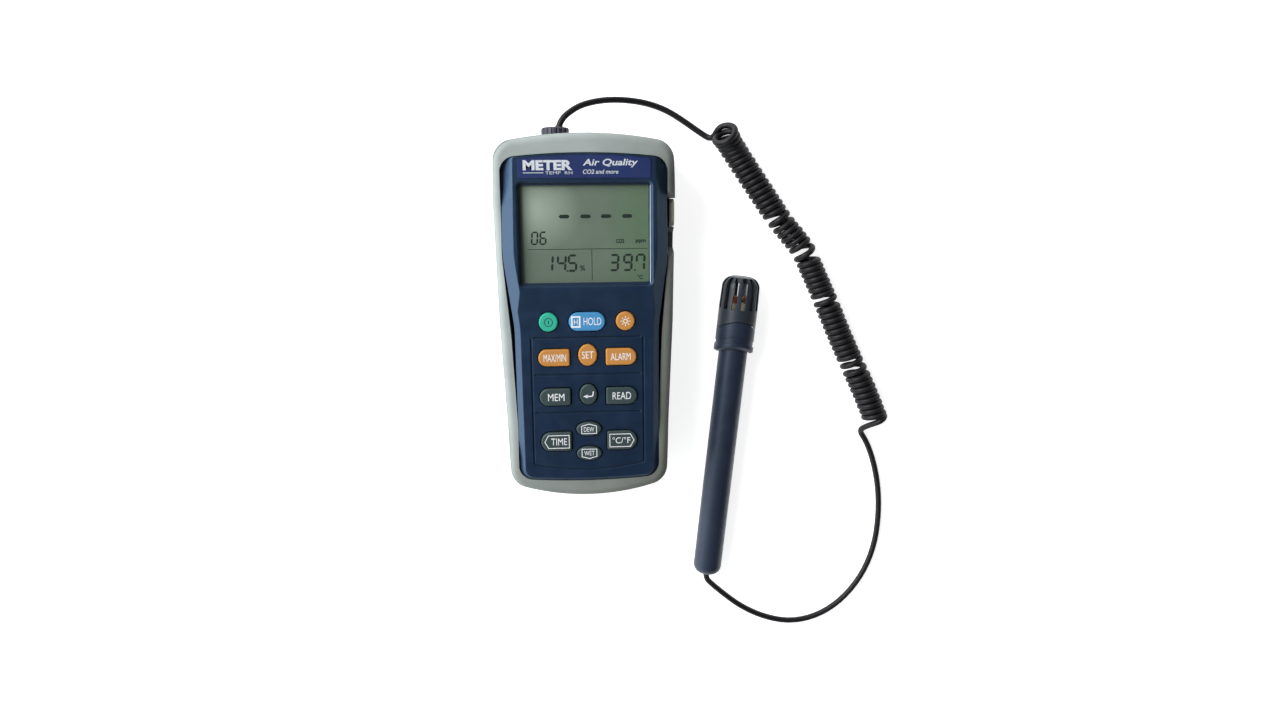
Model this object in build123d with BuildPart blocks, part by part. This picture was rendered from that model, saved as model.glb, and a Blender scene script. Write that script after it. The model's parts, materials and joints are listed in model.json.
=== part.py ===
"""Hand-held carbon dioxide, humidity and temperature meter with a wired probe.

All sizes are in millimetres. The meter lies on its back: X is across it, Y runs
up it towards the end that the cord leaves, Z points out of its display. The
origin is the middle of the rubber boot's flat back, on the surface it lies on.
"""
import os
from math import pi, radians, tan

from build123d import *

os.makedirs("parts", exist_ok=True)

# ---------------------------------------------------------------- driving sizes
# Heights above the surface that the meter lies on
BOOT_BACK = 2.5            # thickness of the boot's back
BOOT_RIM = 31.6            # top of the boot's long walls
BOOT_TOP_RIM = 36.8        # the rim rises to this at the display end
BOOT_LOW_RIM = 34.4        # and to this at the keypad end
TOP_CLIMB = (40.0, 66.0)   # the rim climbs between these places up the meter
LOW_CLIMB = (-64.0, -42.0) # and between these at the keypad end
CASE_BACK = 2.8            # outer back face of the rear case
PARTING = 19.0             # joint line between the rear and the front case
BEVEL_START = 33.0         # the front case leans in above this height
INNER_BEVEL_START = 32.2   # the same on its inside
KEYPAD_FACE = 35.2         # face around the keys
DISPLAY_FACE = 37.2        # raised face around the display
WALL = 2.2                 # wall of both case shells
FACE_WALL = 2.5            # thickness of the front face over the keys
BEVEL_ANGLE = 50.0         # lean of the case's long bevel, degrees
BEVEL_OVERRUN = (5.2, 1.5) # the bevel runs out past the top and the bottom by this
BEVEL_SPARE = 0.4          # the cutting shape of the bevel ends this far above the face
SKIN_GAP = 0.3             # room between the case and the boot

# Plan outlines: the right-hand side from the top corner to the bottom corner
CASE_TOP, CASE_BOTTOM = 72.3, -71.7
CASE_SIDE = [(35.3, 70.1), (35.9, 29.0), (31.7, -2.0), (31.2, -70.3)]
CAVITY_SIDE = [(35.6, 70.4), (36.2, 29.0), (33.3, -6.0), (31.5, -48.0), (31.5, -70.5)]
BOOT_TOP, BOOT_BOTTOM = 81.0, -79.5
BOOT_SIDE = [(38.4, 76.8), (39.5, 50.0), (38.5, 0.0), (35.2, -73.2)]
BEND_R = 60.0              # soft bends of the long sides
CASE_CORNER_R = 6.5
BOOT_CORNER_R = 9.0
BOOT_ROLL = 3.4            # rounding of the boot's front rim
PAST_BOOT = 90.0           # clear of both ends of the boot

# Display stack, centred on the window
WINDOW = (56.8, 43.6)      # opening in the raised face
WINDOW_Y = 38.2
WINDOW_BEVEL = 0.8         # depth of the sloping edge round the window
LENS_T = 1.2
LENS_BOTTOM = 34.8
LEDGE = 1.0                # ledge that the lens is glued to
GLASS = (57.6, 47.2, 2.0)
GLASS_BOTTOM = 31.4
BACKLIGHT = (55.0, 41.0, 3.2)
FRAME_WALL = 1.2

# Boards
BOARD_T = 1.6
MAIN_BOARD_Z = 22.0        # underside of the main board
KEY_BOARD_Z = 27.2         # underside of the small board below the keys
MAT_TOP = 30.4

# Keys: shape, centre x, centre y, width, height
KEYS = {
    "key_power": ("round", -16.8, 0.4, 8.3, 8.3),
    "key_hold": ("stadium", 0.0, 0.4, 16.0, 8.2),
    "key_light": ("round", 16.8, 0.4, 8.3, 8.3),
    "key_max_min": ("left", -14.7, -15.4, 13.8, 7.5),
    "key_set": ("oval", 0.1, -14.4, 8.4, 9.6),
    "key_alarm": ("right", 14.8, -15.4, 13.6, 7.5),
    "key_mem": ("left", -14.6, -33.0, 13.8, 7.7),
    "key_enter": ("oval", 0.1, -32.1, 7.9, 9.3),
    "key_read": ("right", 14.8, -33.0, 13.8, 7.7),
    "key_time": ("left", -14.5, -53.3, 13.6, 8.7),
    "key_dew": ("oval", 0.0, -47.8, 11.2, 6.5),
    "key_wet": ("oval", 0.0, -59.0, 11.2, 6.5),
    "key_units": ("right", 14.8, -53.3, 13.4, 8.7),
}
KEY_TOP = 36.3
KEY_CORNER_R = 0.9
KEY_CLEARANCE = 0.4        # gap round a key in the face
KEY_FLANGE = 1.0           # flange that holds a key in, beyond its outline
KEY_FLANGE_T = 0.8
KEY_FLANGE_TOP = KEYPAD_FACE - FACE_WALL - 0.2
KEY_CROWN = 0.7            # rounding of a key's top edge

# Keypad panel: shallow grooves in the face
PANEL_X = 24.6
PANEL_LINES_Y = [-6.6, -23.1, -40.2]
PANEL_BOTTOM_Y = -63.2
PANEL_SAG = 2.9            # the lower groove dips by this much in its middle
GROOVE_W, GROOVE_D = 0.7, 0.45

# Fasteners
CASE_SCREWS = [(-28.4, 66.0), (28.4, 66.0), (-26.5, 2.5), (26.5, 2.5)]
BOARD_SCREWS = [(-26.0, 9.6), (26.0, 9.6), (-26.0, -60.0), (26.0, -60.0)]
CASE_SCREW_R, BOARD_SCREW_R = 1.1, 0.9
BOSS_R = 2.5
BOARD_BOSS_R = 2.0
BOSS_TOP = 33.9            # the front case's bosses end inside its face

# Stand, folded into a pocket in the rear case
PIVOT_Y, PIVOT_Z = 56.0, 4.9
PIN_R = 0.8
STAND_W, STAND_LEN, STAND_T = 40.0, 46.0, 2.0
STAND_HOLE = (20.0, 18.0)
BARREL_R = 1.9
STAND_BORE_R = PIN_R + 0.05
POCKET_W, POCKET_LOW_Y, POCKET_TOP_Y, POCKET_ROOF = 42.0, 8.6, 58.6, 7.1

# Battery compartment
CELL_R, CELL_LEN, CELL_PITCH, CELL_COUNT = 5.1, 44.0, 10.35, 6
CELL_Z = 10.6
TRAY_Y = -35.8             # middle of the compartment
TRAY_IN = (49.0, 62.8)
TRAY_OUT = (56.0, 66.0)
TRAY_ROOF = 16.4
DOOR = (52.4, 65.4, 2.0)
DOOR_TAB = (10.0, 5.6)
DOOR_GAP = 0.25

# Sockets
PLUG_X, PLUG_Z = -12.2, 18.0
PROBE_SOCKET_R, PROBE_BORE_R = 5.2, 3.6
DATA_Y, DC_Y, SIDE_SOCKET_Z = 34.5, 47.0, 14.0
DATA_NOSE_R, DATA_BORE_R, DATA_DEPTH = 4.0, 1.8, 11.0
DC_NOSE_R, DC_BORE_R, DC_PIN_R, DC_DEPTH = 4.6, 2.8, 1.0, 9.0
SOCKET_FACE_X = 35.4

# Cut-out in the boot's right wall: a low sill over the data socket, and a deep bay
# that holds the flap over the power socket
CUT_LOW_Y, CUT_HIGH_Y, CUT_FLOOR = 28.4, 58.0, 8.4
SILL_Z = 22.5
SILL = (31.7, 38.2)        # flat part of the sill
BAY_EDGE_Z = (26.5, 30.5)  # height of the wall at the lower and the upper side of the bay
DATA_HOLE_R = 5.0          # hole through the boot for the data plug
FLAP = (2.2, 12.0, 20.4)   # thickness, width along Y, height
FLAP_GAP = 0.3             # room between the flap and the bay
FLAP_X, FLAP_PIVOT_Z = 37.0, 9.6
FLAP_LUG = 1.0             # width of each lug that holds the flap's pin
FLAP_NOTCH = 1.9           # the flap is cut away over the lugs up to this far above its pin
FLAP_BARREL_R, FLAP_PIN_R = 1.0, 0.5

# Plug and cord
CORD_D = 2.8
PLUG_R, PLUG_LOW_Y, PLUG_HIGH_Y, PLUG_RIBS = 6.1, 73.0, 84.2, 18
NOSE_R, NOSE_WALL, NOSE_LOW_Y = 3.5, 0.6, 66.0
RELIEF_R, RELIEF_END_Y = 1.9, 84.9
CURL_R = 6.0               # outer radius of the curly part

# Probe: straight, lying on its wide cap and on its tail
TAIL = Vector(57.4, -129.9, 6.9)
TIP = Vector(73.1, 17.1, 10.25)
PROBE_DIR = (TIP - TAIL).normalized()
PROBE_LEN = (TIP - TAIL).length
HANDLE_R, HANDLE_BORE_R, HANDLE_END = 6.8, 5.0, 118.0
TAIL_ROUND = 4.4
CAP_R, CAP_TIP_R, CAP_WALL, CAP_ROUND = 9.1, 8.7, 1.6, 5.2
# Curved lines across the probe: station at its sides and at its middle
SEAM = (121.5, 127.0)      # between the collar and the cap
SEAM_GAP = 0.4
RING_HIGH = (117.2, 120.3) # upper edge of the collar's sunk band
RING_LOW = (114.7, 117.4)  # lower edge of the same band
FOOT = (110.6, 114.4)      # lower end of the collar
RING_R, SUNK_R, SPIGOT_R = 9.3, 8.8, 7.4
FOOT_CHAMFER = 1.5
SLOTS, SLOT_W, SLOT_LOW, SLOT_HIGH = 13, 2.2, 132.6, 147.2
SLOT_START = 273.5         # turns one slot to just right of the top, degrees
ELEMENTS_FROM = 135.2      # the sensing elements stand on the holder here
GLAND_R = 2.3

# The cord's route, in three stretches. The middle one is the axis of the curls.
LEAD_ROUTE = [
    (-10.5, RELIEF_END_Y, 17.8),
    (-9.6, 88.3, 17.6),
    (-5.4, 91.9, 16.2),
    (0.8, 94.9, 13.2),
    (9.8, 97.0, 9.4),
    (19.5, 97.4, 5.8),
    (29.6, 96.3, 3.0),
    (38.8, 93.2, 1.9),
    (46.8, 88.3, 1.7),
    (53.6, 83.6, 2.4),
    (59.8, 80.6, 6.6),
]
CURL_ROUTE = [
    (63.6, 82.2, 11.0),
    (67.0, 77.6, 8.6),
    (73.4, 68.6, 6.4),
    (83.5, 54.1, 6.2),
    (91.3, 42.7, 6.2),
    (97.6, 35.4, 6.2),
    (102.9, 28.9, 6.2),
    (107.4, 19.2, 6.2),
    (113.1, 7.2, 6.2),
    (120.8, -10.7, 6.2),
    (127.5, -25.0, 6.2),
    (134.9, -40.0, 6.2),
    (140.4, -53.2, 6.2),
]
TAIL_ROUTE = [
    (136.8, -53.0, 2.2),
    (134.6, -60.4, 1.6),
    (138.4, -66.8, 1.5),
    (142.3, -77.0, 1.5),
    (145.2, -90.4, 1.5),
    (146.0, -105.6, 1.5),
    (144.2, -122.2, 1.5),
    (138.2, -137.6, 1.5),
    (127.6, -150.8, 1.5),
    (114.8, -158.6, 1.5),
    (100.8, -160.8, 1.5),
    (86.8, -157.2, 1.5),
    (75.0, -150.6, 1.9),
    (66.4, -143.0, 3.4),
    (60.4, -137.0, 5.4),
    (57.06, -133.08, 6.84),
    (57.34, -130.5, 6.89),
]


# ---------------------------------------------------------------- shared shapes
def plan_outline(top, side, bottom, corner_r):
    """Symmetric outline with arched ends, bent sides and round corners."""
    left = [(-x, y) for x, y in side]
    right = side[::-1]
    with BuildSketch() as outline:
        with BuildLine():
            ThreePointArc(right[-1], (0, top), left[0])
            Polyline(left)
            ThreePointArc(left[-1], (0, bottom), right[0])
            Polyline(right)
        make_face()
        fillet(outline.vertices().sort_by(Axis.Y)[2:-2], BEND_R)
        fillet(outline.vertices().sort_by(Axis.Y)[:2], corner_r)
        fillet(outline.vertices().sort_by(Axis.Y)[-2:], corner_r)
    return outline.sketch


def key_outline(shape, width, height, margin=0.0):
    """Outline of one key about its own centre, with an even margin round it."""
    width += 2 * margin
    height += 2 * margin
    with BuildSketch() as outline:
        if shape == "round":
            Circle(width / 2)
        elif shape == "stadium":
            SlotOverall(width, height)
        elif shape == "oval":
            Ellipse(width / 2, height / 2)
        else:
            flat = width / 2 if shape == "left" else -width / 2
            bend = -flat + (height / 2 if shape == "left" else -height / 2)
            with BuildLine():
                Polyline((bend, height / 2), (flat, height / 2), (flat, -height / 2), (bend, -height / 2))
                ThreePointArc((bend, -height / 2), (-flat, 0), (bend, height / 2))
            make_face()
            square = outline.vertices().group_by(Axis.X)[-1 if shape == "left" else 0]
            fillet(square, KEY_CORNER_R + margin)
    return outline.sketch


def is_outer(edge):
    """True for an edge that runs along the boot's outline, not across its rim."""
    return abs((edge % 0.5).X) < 0.9 or abs((edge @ 0.5).Y) > 70


def climb(places, height, next_height):
    """Start, middle and end of a smooth climb between two heights of the rim."""
    middle = (sum(places) / 2, (height + next_height) / 2)
    return (places[0], height), middle, (places[1], next_height)


def grown(outline, amount):
    """The same outline, larger or smaller all round."""
    with BuildSketch() as larger:
        add(outline)
        offset(amount=amount, kind=Kind.ARC, mode=Mode.REPLACE)
    return larger.sketch


def bend_radii(route):
    """Largest smooth arc at each inner point of a route."""
    points = [Vector(p) for p in route]
    radii = []
    for before, here, after in zip(points, points[1:], points[2:]):
        run_in = here - before
        run_out = after - here
        half_turn = radians(run_in.get_angle(run_out)) / 2
        radii.append(0.45 * min(run_in.length, run_out.length) / tan(half_turn))
    return radii


def cord_tube(name, route, radius):
    """Plain round tube along a route of straight runs and tangent arcs."""
    radii = bend_radii(route)
    with BuildPart() as tube:
        with BuildLine() as path:
            FilletPolyline(*route, radius=radii)
        with BuildSketch(Plane(origin=path.line @ 0, z_dir=path.line % 0)):
            Circle(radius)
        sweep()
    length = sum(edge.length for edge in path.edges())
    straight_volume = pi * radius**2 * length
    print(f"{name}: length {length:.1f}, radii", [round(r, 1) for r in radii])
    print(f"{name}: volume {tube.part.volume:.0f}, section x length {straight_volume:.0f}")
    return tube.part


def along_y(x, y, z):
    """Plane whose normal is +Y, for round work along the meter."""
    return Plane(origin=(x, y, z), x_dir=(1, 0, 0), z_dir=(0, 1, 0))


def along_x(x, y, z):
    """Plane whose normal is +X, for round work across the meter."""
    return Plane(origin=(x, y, z), x_dir=(0, 1, 0), z_dir=(1, 0, 0))


def across_probe(station):
    """Plane square to the probe's axis, at a distance from its tail."""
    return Plane(origin=TAIL + PROBE_DIR * station, x_dir=(1, 0, 0), z_dir=PROBE_DIR)


def save(part, name):
    part.label = name
    export_step(part, f"parts/{name}.step")


PROBE_SIDE_DIR = Vector(PROBE_DIR.Y, -PROBE_DIR.X, 0).normalized()
PROBE_PROFILE = Plane(origin=TAIL, x_dir=PROBE_DIR, z_dir=PROBE_DIR.cross(PROBE_SIDE_DIR))
PROBE_AXIS = Axis(TAIL, PROBE_DIR)

case_outline = plan_outline(CASE_TOP, CASE_SIDE, CASE_BOTTOM, CASE_CORNER_R)
cavity_outline = plan_outline(CASE_TOP + SKIN_GAP, CAVITY_SIDE, CASE_BOTTOM - SKIN_GAP, CASE_CORNER_R)
boot_outline = plan_outline(BOOT_TOP, BOOT_SIDE, BOOT_BOTTOM, BOOT_CORNER_R)
inner_outline = grown(case_outline, -WALL)
# the bevel's own outline runs past both ends, so that only the long sides lean in
bevel_side = [(x, y + BEVEL_OVERRUN[0] if y > 60 else y) for x, y in CASE_SIDE[:-1]]
bevel_side.append((CASE_SIDE[-1][0], CASE_SIDE[-1][1] - BEVEL_OVERRUN[1]))
bevel_outline = plan_outline(
    CASE_TOP + BEVEL_OVERRUN[0], bevel_side, CASE_BOTTOM - BEVEL_OVERRUN[1], CASE_CORNER_R
)

# ---------------------------------------------------------------- rubber boot
with BuildPart() as boot:
    with BuildSketch():
        add(boot_outline)
    extrude(amount=BOOT_TOP_RIM + 2)
    # side view: the rim climbs in smooth curves at both ends
    with BuildSketch(Plane.YZ):
        with BuildLine():
            Line((-PAST_BOOT, BOOT_LOW_RIM), (LOW_CLIMB[0], BOOT_LOW_RIM))
            Spline(*climb(LOW_CLIMB, BOOT_LOW_RIM, BOOT_RIM), tangents=[(1, 0), (1, 0)])
            Line((LOW_CLIMB[1], BOOT_RIM), (TOP_CLIMB[0], BOOT_RIM))
            Spline(*climb(TOP_CLIMB, BOOT_RIM, BOOT_TOP_RIM), tangents=[(1, 0), (1, 0)])
            Polyline(
                (TOP_CLIMB[1], BOOT_TOP_RIM), (PAST_BOOT, BOOT_TOP_RIM), (PAST_BOOT, 0),
                (-PAST_BOOT, 0), (-PAST_BOOT, BOOT_LOW_RIM),
            )
        make_face()
    extrude(amount=60, both=True, mode=Mode.INTERSECT)
    rim_faces = boot.faces().filter_by(lambda face: face.normal_at().Z > 0.5)
    fillet([edge for face in rim_faces for edge in face.edges() if is_outer(edge)], BOOT_ROLL)
    fillet(boot.edges().group_by(Axis.Z)[0], 2.0)
    with BuildSketch(Plane.XY.offset(BOOT_BACK)):
        add(cavity_outline)
    extrude(amount=BOOT_TOP_RIM, mode=Mode.SUBTRACT)
    # window for the stand and the air slots
    with BuildSketch(Plane.XY.offset(-1)):
        with Locations((0, 38.5)):
            RectangleRounded(47.0, 63.0, 4.0)
    extrude(amount=BOOT_BACK + 2, mode=Mode.SUBTRACT)
    # hole for the probe's plug in the top end
    with BuildSketch(along_y(PLUG_X, 60, PLUG_Z)):
        Circle(PLUG_R + 0.6)
    extrude(amount=30, mode=Mode.SUBTRACT)
    # cut-out beside the side sockets, seen from the right
    bay_low_y = DC_Y - FLAP[1] / 2 - FLAP_GAP
    bay_high_y = DC_Y + FLAP[1] / 2 + FLAP_GAP
    clear_z = BOOT_TOP_RIM + 2
    with BuildSketch(along_x(33, 0, 0)):
        with BuildLine():
            Polyline(
                (CUT_LOW_Y, clear_z), (CUT_LOW_Y, BOOT_RIM), (SILL[0], SILL_Z), (SILL[1], SILL_Z),
                (bay_low_y, BAY_EDGE_Z[0]), (bay_low_y, CUT_FLOOR), (bay_high_y, CUT_FLOOR),
                (bay_high_y, BAY_EDGE_Z[1]), (CUT_HIGH_Y, clear_z), (CUT_LOW_Y, clear_z),
            )
        make_face()
    extrude(amount=12, mode=Mode.SUBTRACT)
    with BuildSketch(along_x(33, DATA_Y, SIDE_SOCKET_Z)):
        Circle(DATA_HOLE_R)
    extrude(amount=12, mode=Mode.SUBTRACT)
save(boot.part, "rubber_boot")

# ---------------------------------------------------------------- front case
face_profile = [
    (-80, PARTING), (80, PARTING), (80, DISPLAY_FACE), (13.5, DISPLAY_FACE),
    (5.0, KEYPAD_FACE), (-80, KEYPAD_FACE),
]
roof_profile = [
    (-80, PARTING), (80, PARTING), (80, LENS_BOTTOM - LEDGE), (12.8, LENS_BOTTOM - LEDGE),
    (9.0, KEYPAD_FACE - FACE_WALL), (-80, KEYPAD_FACE - FACE_WALL),
]
with BuildPart() as bevel_form:
    with BuildSketch(Plane.XY.offset(PARTING)):
        add(bevel_outline)
    extrude(amount=BEVEL_START - PARTING)
    with BuildSketch(Plane.XY.offset(BEVEL_START)):
        add(bevel_outline)
    extrude(amount=DISPLAY_FACE + BEVEL_SPARE - BEVEL_START, taper=BEVEL_ANGLE)

with BuildPart() as front_inner:
    with BuildSketch(Plane.XY.offset(PARTING)):
        add(inner_outline)
    extrude(amount=INNER_BEVEL_START - PARTING)
    with BuildSketch(Plane.XY.offset(INNER_BEVEL_START)):
        add(inner_outline)
    extrude(amount=LENS_BOTTOM - INNER_BEVEL_START, taper=BEVEL_ANGLE)
    with BuildSketch(Plane.YZ):
        with BuildLine():
            Polyline(*roof_profile, close=True)
        make_face()
    extrude(amount=50, both=True, mode=Mode.INTERSECT)

with BuildPart() as front_case:
    with BuildSketch(Plane.XY.offset(PARTING)):
        add(case_outline)
    extrude(amount=DISPLAY_FACE + 1 - PARTING)
    add(bevel_form.part, mode=Mode.INTERSECT)
    with BuildSketch(Plane.YZ):
        with BuildLine():
            Polyline(*face_profile, close=True)
        make_face()
    extrude(amount=50, both=True, mode=Mode.INTERSECT)
    add(front_inner.part, mode=Mode.SUBTRACT)
    # bosses for the case screws and the board screws
    with BuildSketch(Plane.XY.offset(PARTING)):
        with Locations(*CASE_SCREWS):
            Circle(BOSS_R)
    extrude(amount=BOSS_TOP - PARTING)
    with BuildSketch(Plane.XY.offset(MAIN_BOARD_Z + BOARD_T)):
        with Locations(*BOARD_SCREWS):
            Circle(BOARD_BOSS_R)
    extrude(amount=BOSS_TOP - MAIN_BOARD_Z - BOARD_T)
    with BuildSketch(Plane.XY.offset(PARTING)):
        with Locations(*CASE_SCREWS):
            Circle(CASE_SCREW_R)
    extrude(amount=9, mode=Mode.SUBTRACT)
    with BuildSketch(Plane.XY.offset(MAIN_BOARD_Z)):
        with Locations(*BOARD_SCREWS):
            Circle(BOARD_SCREW_R)
    extrude(amount=6.5, mode=Mode.SUBTRACT)
    # window: a recess for the lens and a smaller opening under it
    with BuildSketch(Plane.XY.offset(LENS_BOTTOM)):
        with Locations((0, WINDOW_Y)):
            RectangleRounded(*WINDOW, 1.6)
    extrude(amount=5, mode=Mode.SUBTRACT)
    with BuildSketch(Plane.XY.offset(DISPLAY_FACE - WINDOW_BEVEL)):
        with Locations((0, WINDOW_Y)):
            RectangleRounded(*WINDOW, 1.6)
    extrude(amount=2 * WINDOW_BEVEL, taper=-40, mode=Mode.SUBTRACT)
    with BuildSketch(Plane.XY.offset(LENS_BOTTOM - 2)):
        with Locations((0, WINDOW_Y)):
            RectangleRounded(WINDOW[0] - 2 * LEDGE, WINDOW[1] - 2 * LEDGE, 1.0)
    extrude(amount=5, mode=Mode.SUBTRACT)
    # holes for the keys
    for shape, key_x, key_y, key_w, key_h in KEYS.values():
        with BuildSketch(Plane.XY.offset(KEYPAD_FACE - FACE_WALL - 1)):
            with Locations((key_x, key_y)):
                add(key_outline(shape, key_w, key_h, KEY_CLEARANCE))
        extrude(amount=FACE_WALL + 3, mode=Mode.SUBTRACT)
    # shallow grooves that mark out the keypad panel
    with BuildSketch(Plane.XY.offset(KEYPAD_FACE - GROOVE_D)):
        for line_y in PANEL_LINES_Y:
            with Locations((0, line_y)):
                Rectangle(2 * PANEL_X - 2.4, GROOVE_W)
        side_length = PANEL_LINES_Y[0] - PANEL_BOTTOM_Y + GROOVE_W / 2
        with Locations((0, PANEL_LINES_Y[0] - side_length / 2)):
            with GridLocations(2 * PANEL_X, 0, 2, 1):
                Rectangle(GROOVE_W, side_length)
        corner_x = PANEL_X + GROOVE_W / 2
        low_y = PANEL_BOTTOM_Y - GROOVE_W
        with BuildLine():
            top_y = PANEL_BOTTOM_Y
            ThreePointArc((-corner_x, top_y), (0, top_y - PANEL_SAG), (corner_x, top_y))
            Line((corner_x, top_y), (corner_x, low_y))
            ThreePointArc((corner_x, low_y), (0, low_y - PANEL_SAG), (-corner_x, low_y))
            Line((-corner_x, low_y), (-corner_x, top_y))
        make_face()
    extrude(amount=2, mode=Mode.SUBTRACT)
    # half of the hole for the probe socket
    with BuildSketch(along_y(PLUG_X, 60, PLUG_Z)):
        Circle(PROBE_SOCKET_R)
    extrude(amount=20, mode=Mode.SUBTRACT)
save(front_case.part, "front_case")

# ---------------------------------------------------------------- rear case
tray_low_y = TRAY_Y - DOOR[1] / 2
with BuildPart() as rear_case:
    with BuildSketch(Plane.XY.offset(CASE_BACK)):
        add(case_outline)
    extrude(amount=PARTING - CASE_BACK)
    chamfer(rear_case.edges().group_by(Axis.Z)[0], 1.5)
    with BuildSketch(Plane.XY.offset(CASE_BACK + WALL)):
        add(inner_outline)
    extrude(amount=PARTING, mode=Mode.SUBTRACT)
    # raised roofs over the stand pocket and the battery compartment
    with BuildSketch(Plane.XY.offset(CASE_BACK + 1)):
        with Locations((0, (POCKET_LOW_Y + POCKET_TOP_Y) / 2)):
            Rectangle(POCKET_W + 5, POCKET_TOP_Y - POCKET_LOW_Y + 3)
    extrude(amount=POCKET_ROOF + 1.4 - CASE_BACK - 1)
    with BuildSketch(Plane.XY.offset(CASE_BACK + 1)):
        with Locations((0, TRAY_Y)):
            Rectangle(*TRAY_OUT)
    extrude(amount=TRAY_ROOF + 1.3 - CASE_BACK - 1)
    with BuildSketch(Plane.XY.offset(CASE_BACK - 1)):
        with Locations((0, (POCKET_LOW_Y + POCKET_TOP_Y) / 2)):
            Rectangle(POCKET_W, POCKET_TOP_Y - POCKET_LOW_Y)
    extrude(amount=POCKET_ROOF - CASE_BACK + 1, mode=Mode.SUBTRACT)
    with BuildSketch(Plane.XY.offset(CASE_BACK - 1)):
        with Locations((0, TRAY_Y)):
            Rectangle(*TRAY_IN)
    extrude(amount=TRAY_ROOF - CASE_BACK + 1, mode=Mode.SUBTRACT)
    # recess for the battery door and its screw tab
    with BuildSketch(Plane.XY.offset(CASE_BACK - 1)):
        with Locations((0, TRAY_Y)):
            Rectangle(DOOR[0] + 2 * DOOR_GAP, DOOR[1] + 2 * DOOR_GAP)
        with Locations((0, TRAY_Y + DOOR[1] / 2 + DOOR_TAB[1] / 2)):
            Rectangle(DOOR_TAB[0] + 2 * DOOR_GAP, DOOR_TAB[1] + 2 * DOOR_GAP)
    extrude(amount=DOOR[2] + 1, mode=Mode.SUBTRACT)
    door_screw_y = TRAY_Y + DOOR[1] / 2 + DOOR_TAB[1] / 2
    with BuildSketch(Plane.XY.offset(CASE_BACK + DOOR[2])):
        with Locations((0, door_screw_y)):
            Circle(3.0)
    extrude(amount=7)
    with BuildSketch(Plane.XY.offset(CASE_BACK)):
        with Locations((0, door_screw_y)):
            Circle(1.0)
    extrude(amount=8, mode=Mode.SUBTRACT)
    # bosses and counterbored holes for the case screws
    with BuildSketch(Plane.XY.offset(CASE_BACK + 1)):
        with Locations(*CASE_SCREWS):
            Circle(BOSS_R)
    extrude(amount=PARTING - CASE_BACK - 1)
    with BuildSketch(Plane.XY.offset(CASE_BACK - 1)):
        with Locations(*CASE_SCREWS):
            Circle(CASE_SCREW_R)
    extrude(amount=PARTING, mode=Mode.SUBTRACT)
    with BuildSketch(Plane.XY.offset(CASE_BACK - 1)):
        with Locations(*CASE_SCREWS):
            Circle(2.1)
    extrude(amount=3.6, mode=Mode.SUBTRACT)
    # bore for the stand's pin, through both cheeks of the pocket
    with BuildSketch(along_x(-POCKET_W / 2 - 2, PIVOT_Y, PIVOT_Z)):
        Circle(PIN_R)
    extrude(amount=POCKET_W + 4, mode=Mode.SUBTRACT)
    # air slots for the gas sensor
    with BuildSketch(Plane.XY.offset(CASE_BACK - 1)):
        with Locations((0, 61.9), (0, 64.3), (0, 66.7)):
            SlotOverall(24, 1.3)
    extrude(amount=6, mode=Mode.SUBTRACT)
    # openings for the sockets
    with BuildSketch(along_y(PLUG_X, 60, PLUG_Z)):
        Circle(PROBE_SOCKET_R)
    extrude(amount=20, mode=Mode.SUBTRACT)
    with BuildSketch(along_x(30, DATA_Y, SIDE_SOCKET_Z)):
        Circle(DATA_NOSE_R)
    extrude(amount=10, mode=Mode.SUBTRACT)
    with BuildSketch(along_x(30, DC_Y, SIDE_SOCKET_Z)):
        Circle(DC_NOSE_R)
    extrude(amount=10, mode=Mode.SUBTRACT)
save(rear_case.part, "rear_case")

# ---------------------------------------------------------------- display stack
with BuildPart() as window_lens:
    with BuildSketch(Plane.XY.offset(LENS_BOTTOM)):
        with Locations((0, WINDOW_Y)):
            RectangleRounded(WINDOW[0] - 0.2, WINDOW[1] - 0.2, 1.5)
    extrude(amount=LENS_T)
save(window_lens.part, "window_lens")

LABEL_X, LABEL_LOW_Y, LABEL_HIGH_Y, LABEL_TOP_Y = 28.2, 61.9, 69.9, 71.4
with BuildPart() as name_label:
    with BuildSketch(Plane.XY.offset(DISPLAY_FACE)) as plate:
        with BuildLine():
            ThreePointArc((-LABEL_X, LABEL_HIGH_Y), (0, LABEL_TOP_Y), (LABEL_X, LABEL_HIGH_Y))
            Polyline(
                (LABEL_X, LABEL_HIGH_Y), (LABEL_X, LABEL_LOW_Y),
                (-LABEL_X, LABEL_LOW_Y), (-LABEL_X, LABEL_HIGH_Y),
            )
        make_face()
        fillet(plate.vertices(), 0.8)
    extrude(amount=0.3)
save(name_label.part, "name_label")

with BuildPart() as lcd_glass:
    with BuildSketch(Plane.XY.offset(GLASS_BOTTOM)):
        with Locations((0, WINDOW_Y)):
            Rectangle(GLASS[0], GLASS[1])
    extrude(amount=GLASS[2])
save(lcd_glass.part, "lcd_glass")

backlight_y = WINDOW_Y + (GLASS[1] - BACKLIGHT[1]) / 2 - 0.6
with BuildPart() as backlight_panel:
    with BuildSketch(Plane.XY.offset(GLASS_BOTTOM - BACKLIGHT[2])):
        with Locations((0, backlight_y)):
            Rectangle(BACKLIGHT[0], BACKLIGHT[1])
    extrude(amount=BACKLIGHT[2])
save(backlight_panel.part, "backlight_panel")

board_top = MAIN_BOARD_Z + BOARD_T
zebra_y = WINDOW_Y - GLASS[1] / 2 + 1.6
with BuildPart() as contact_strip:
    with BuildSketch(Plane.XY.offset(board_top)):
        with Locations((0, zebra_y)):
            Rectangle(GLASS[0] - 4, 1.8)
    extrude(amount=GLASS_BOTTOM - board_top)
save(contact_strip.part, "contact_strip")

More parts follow.
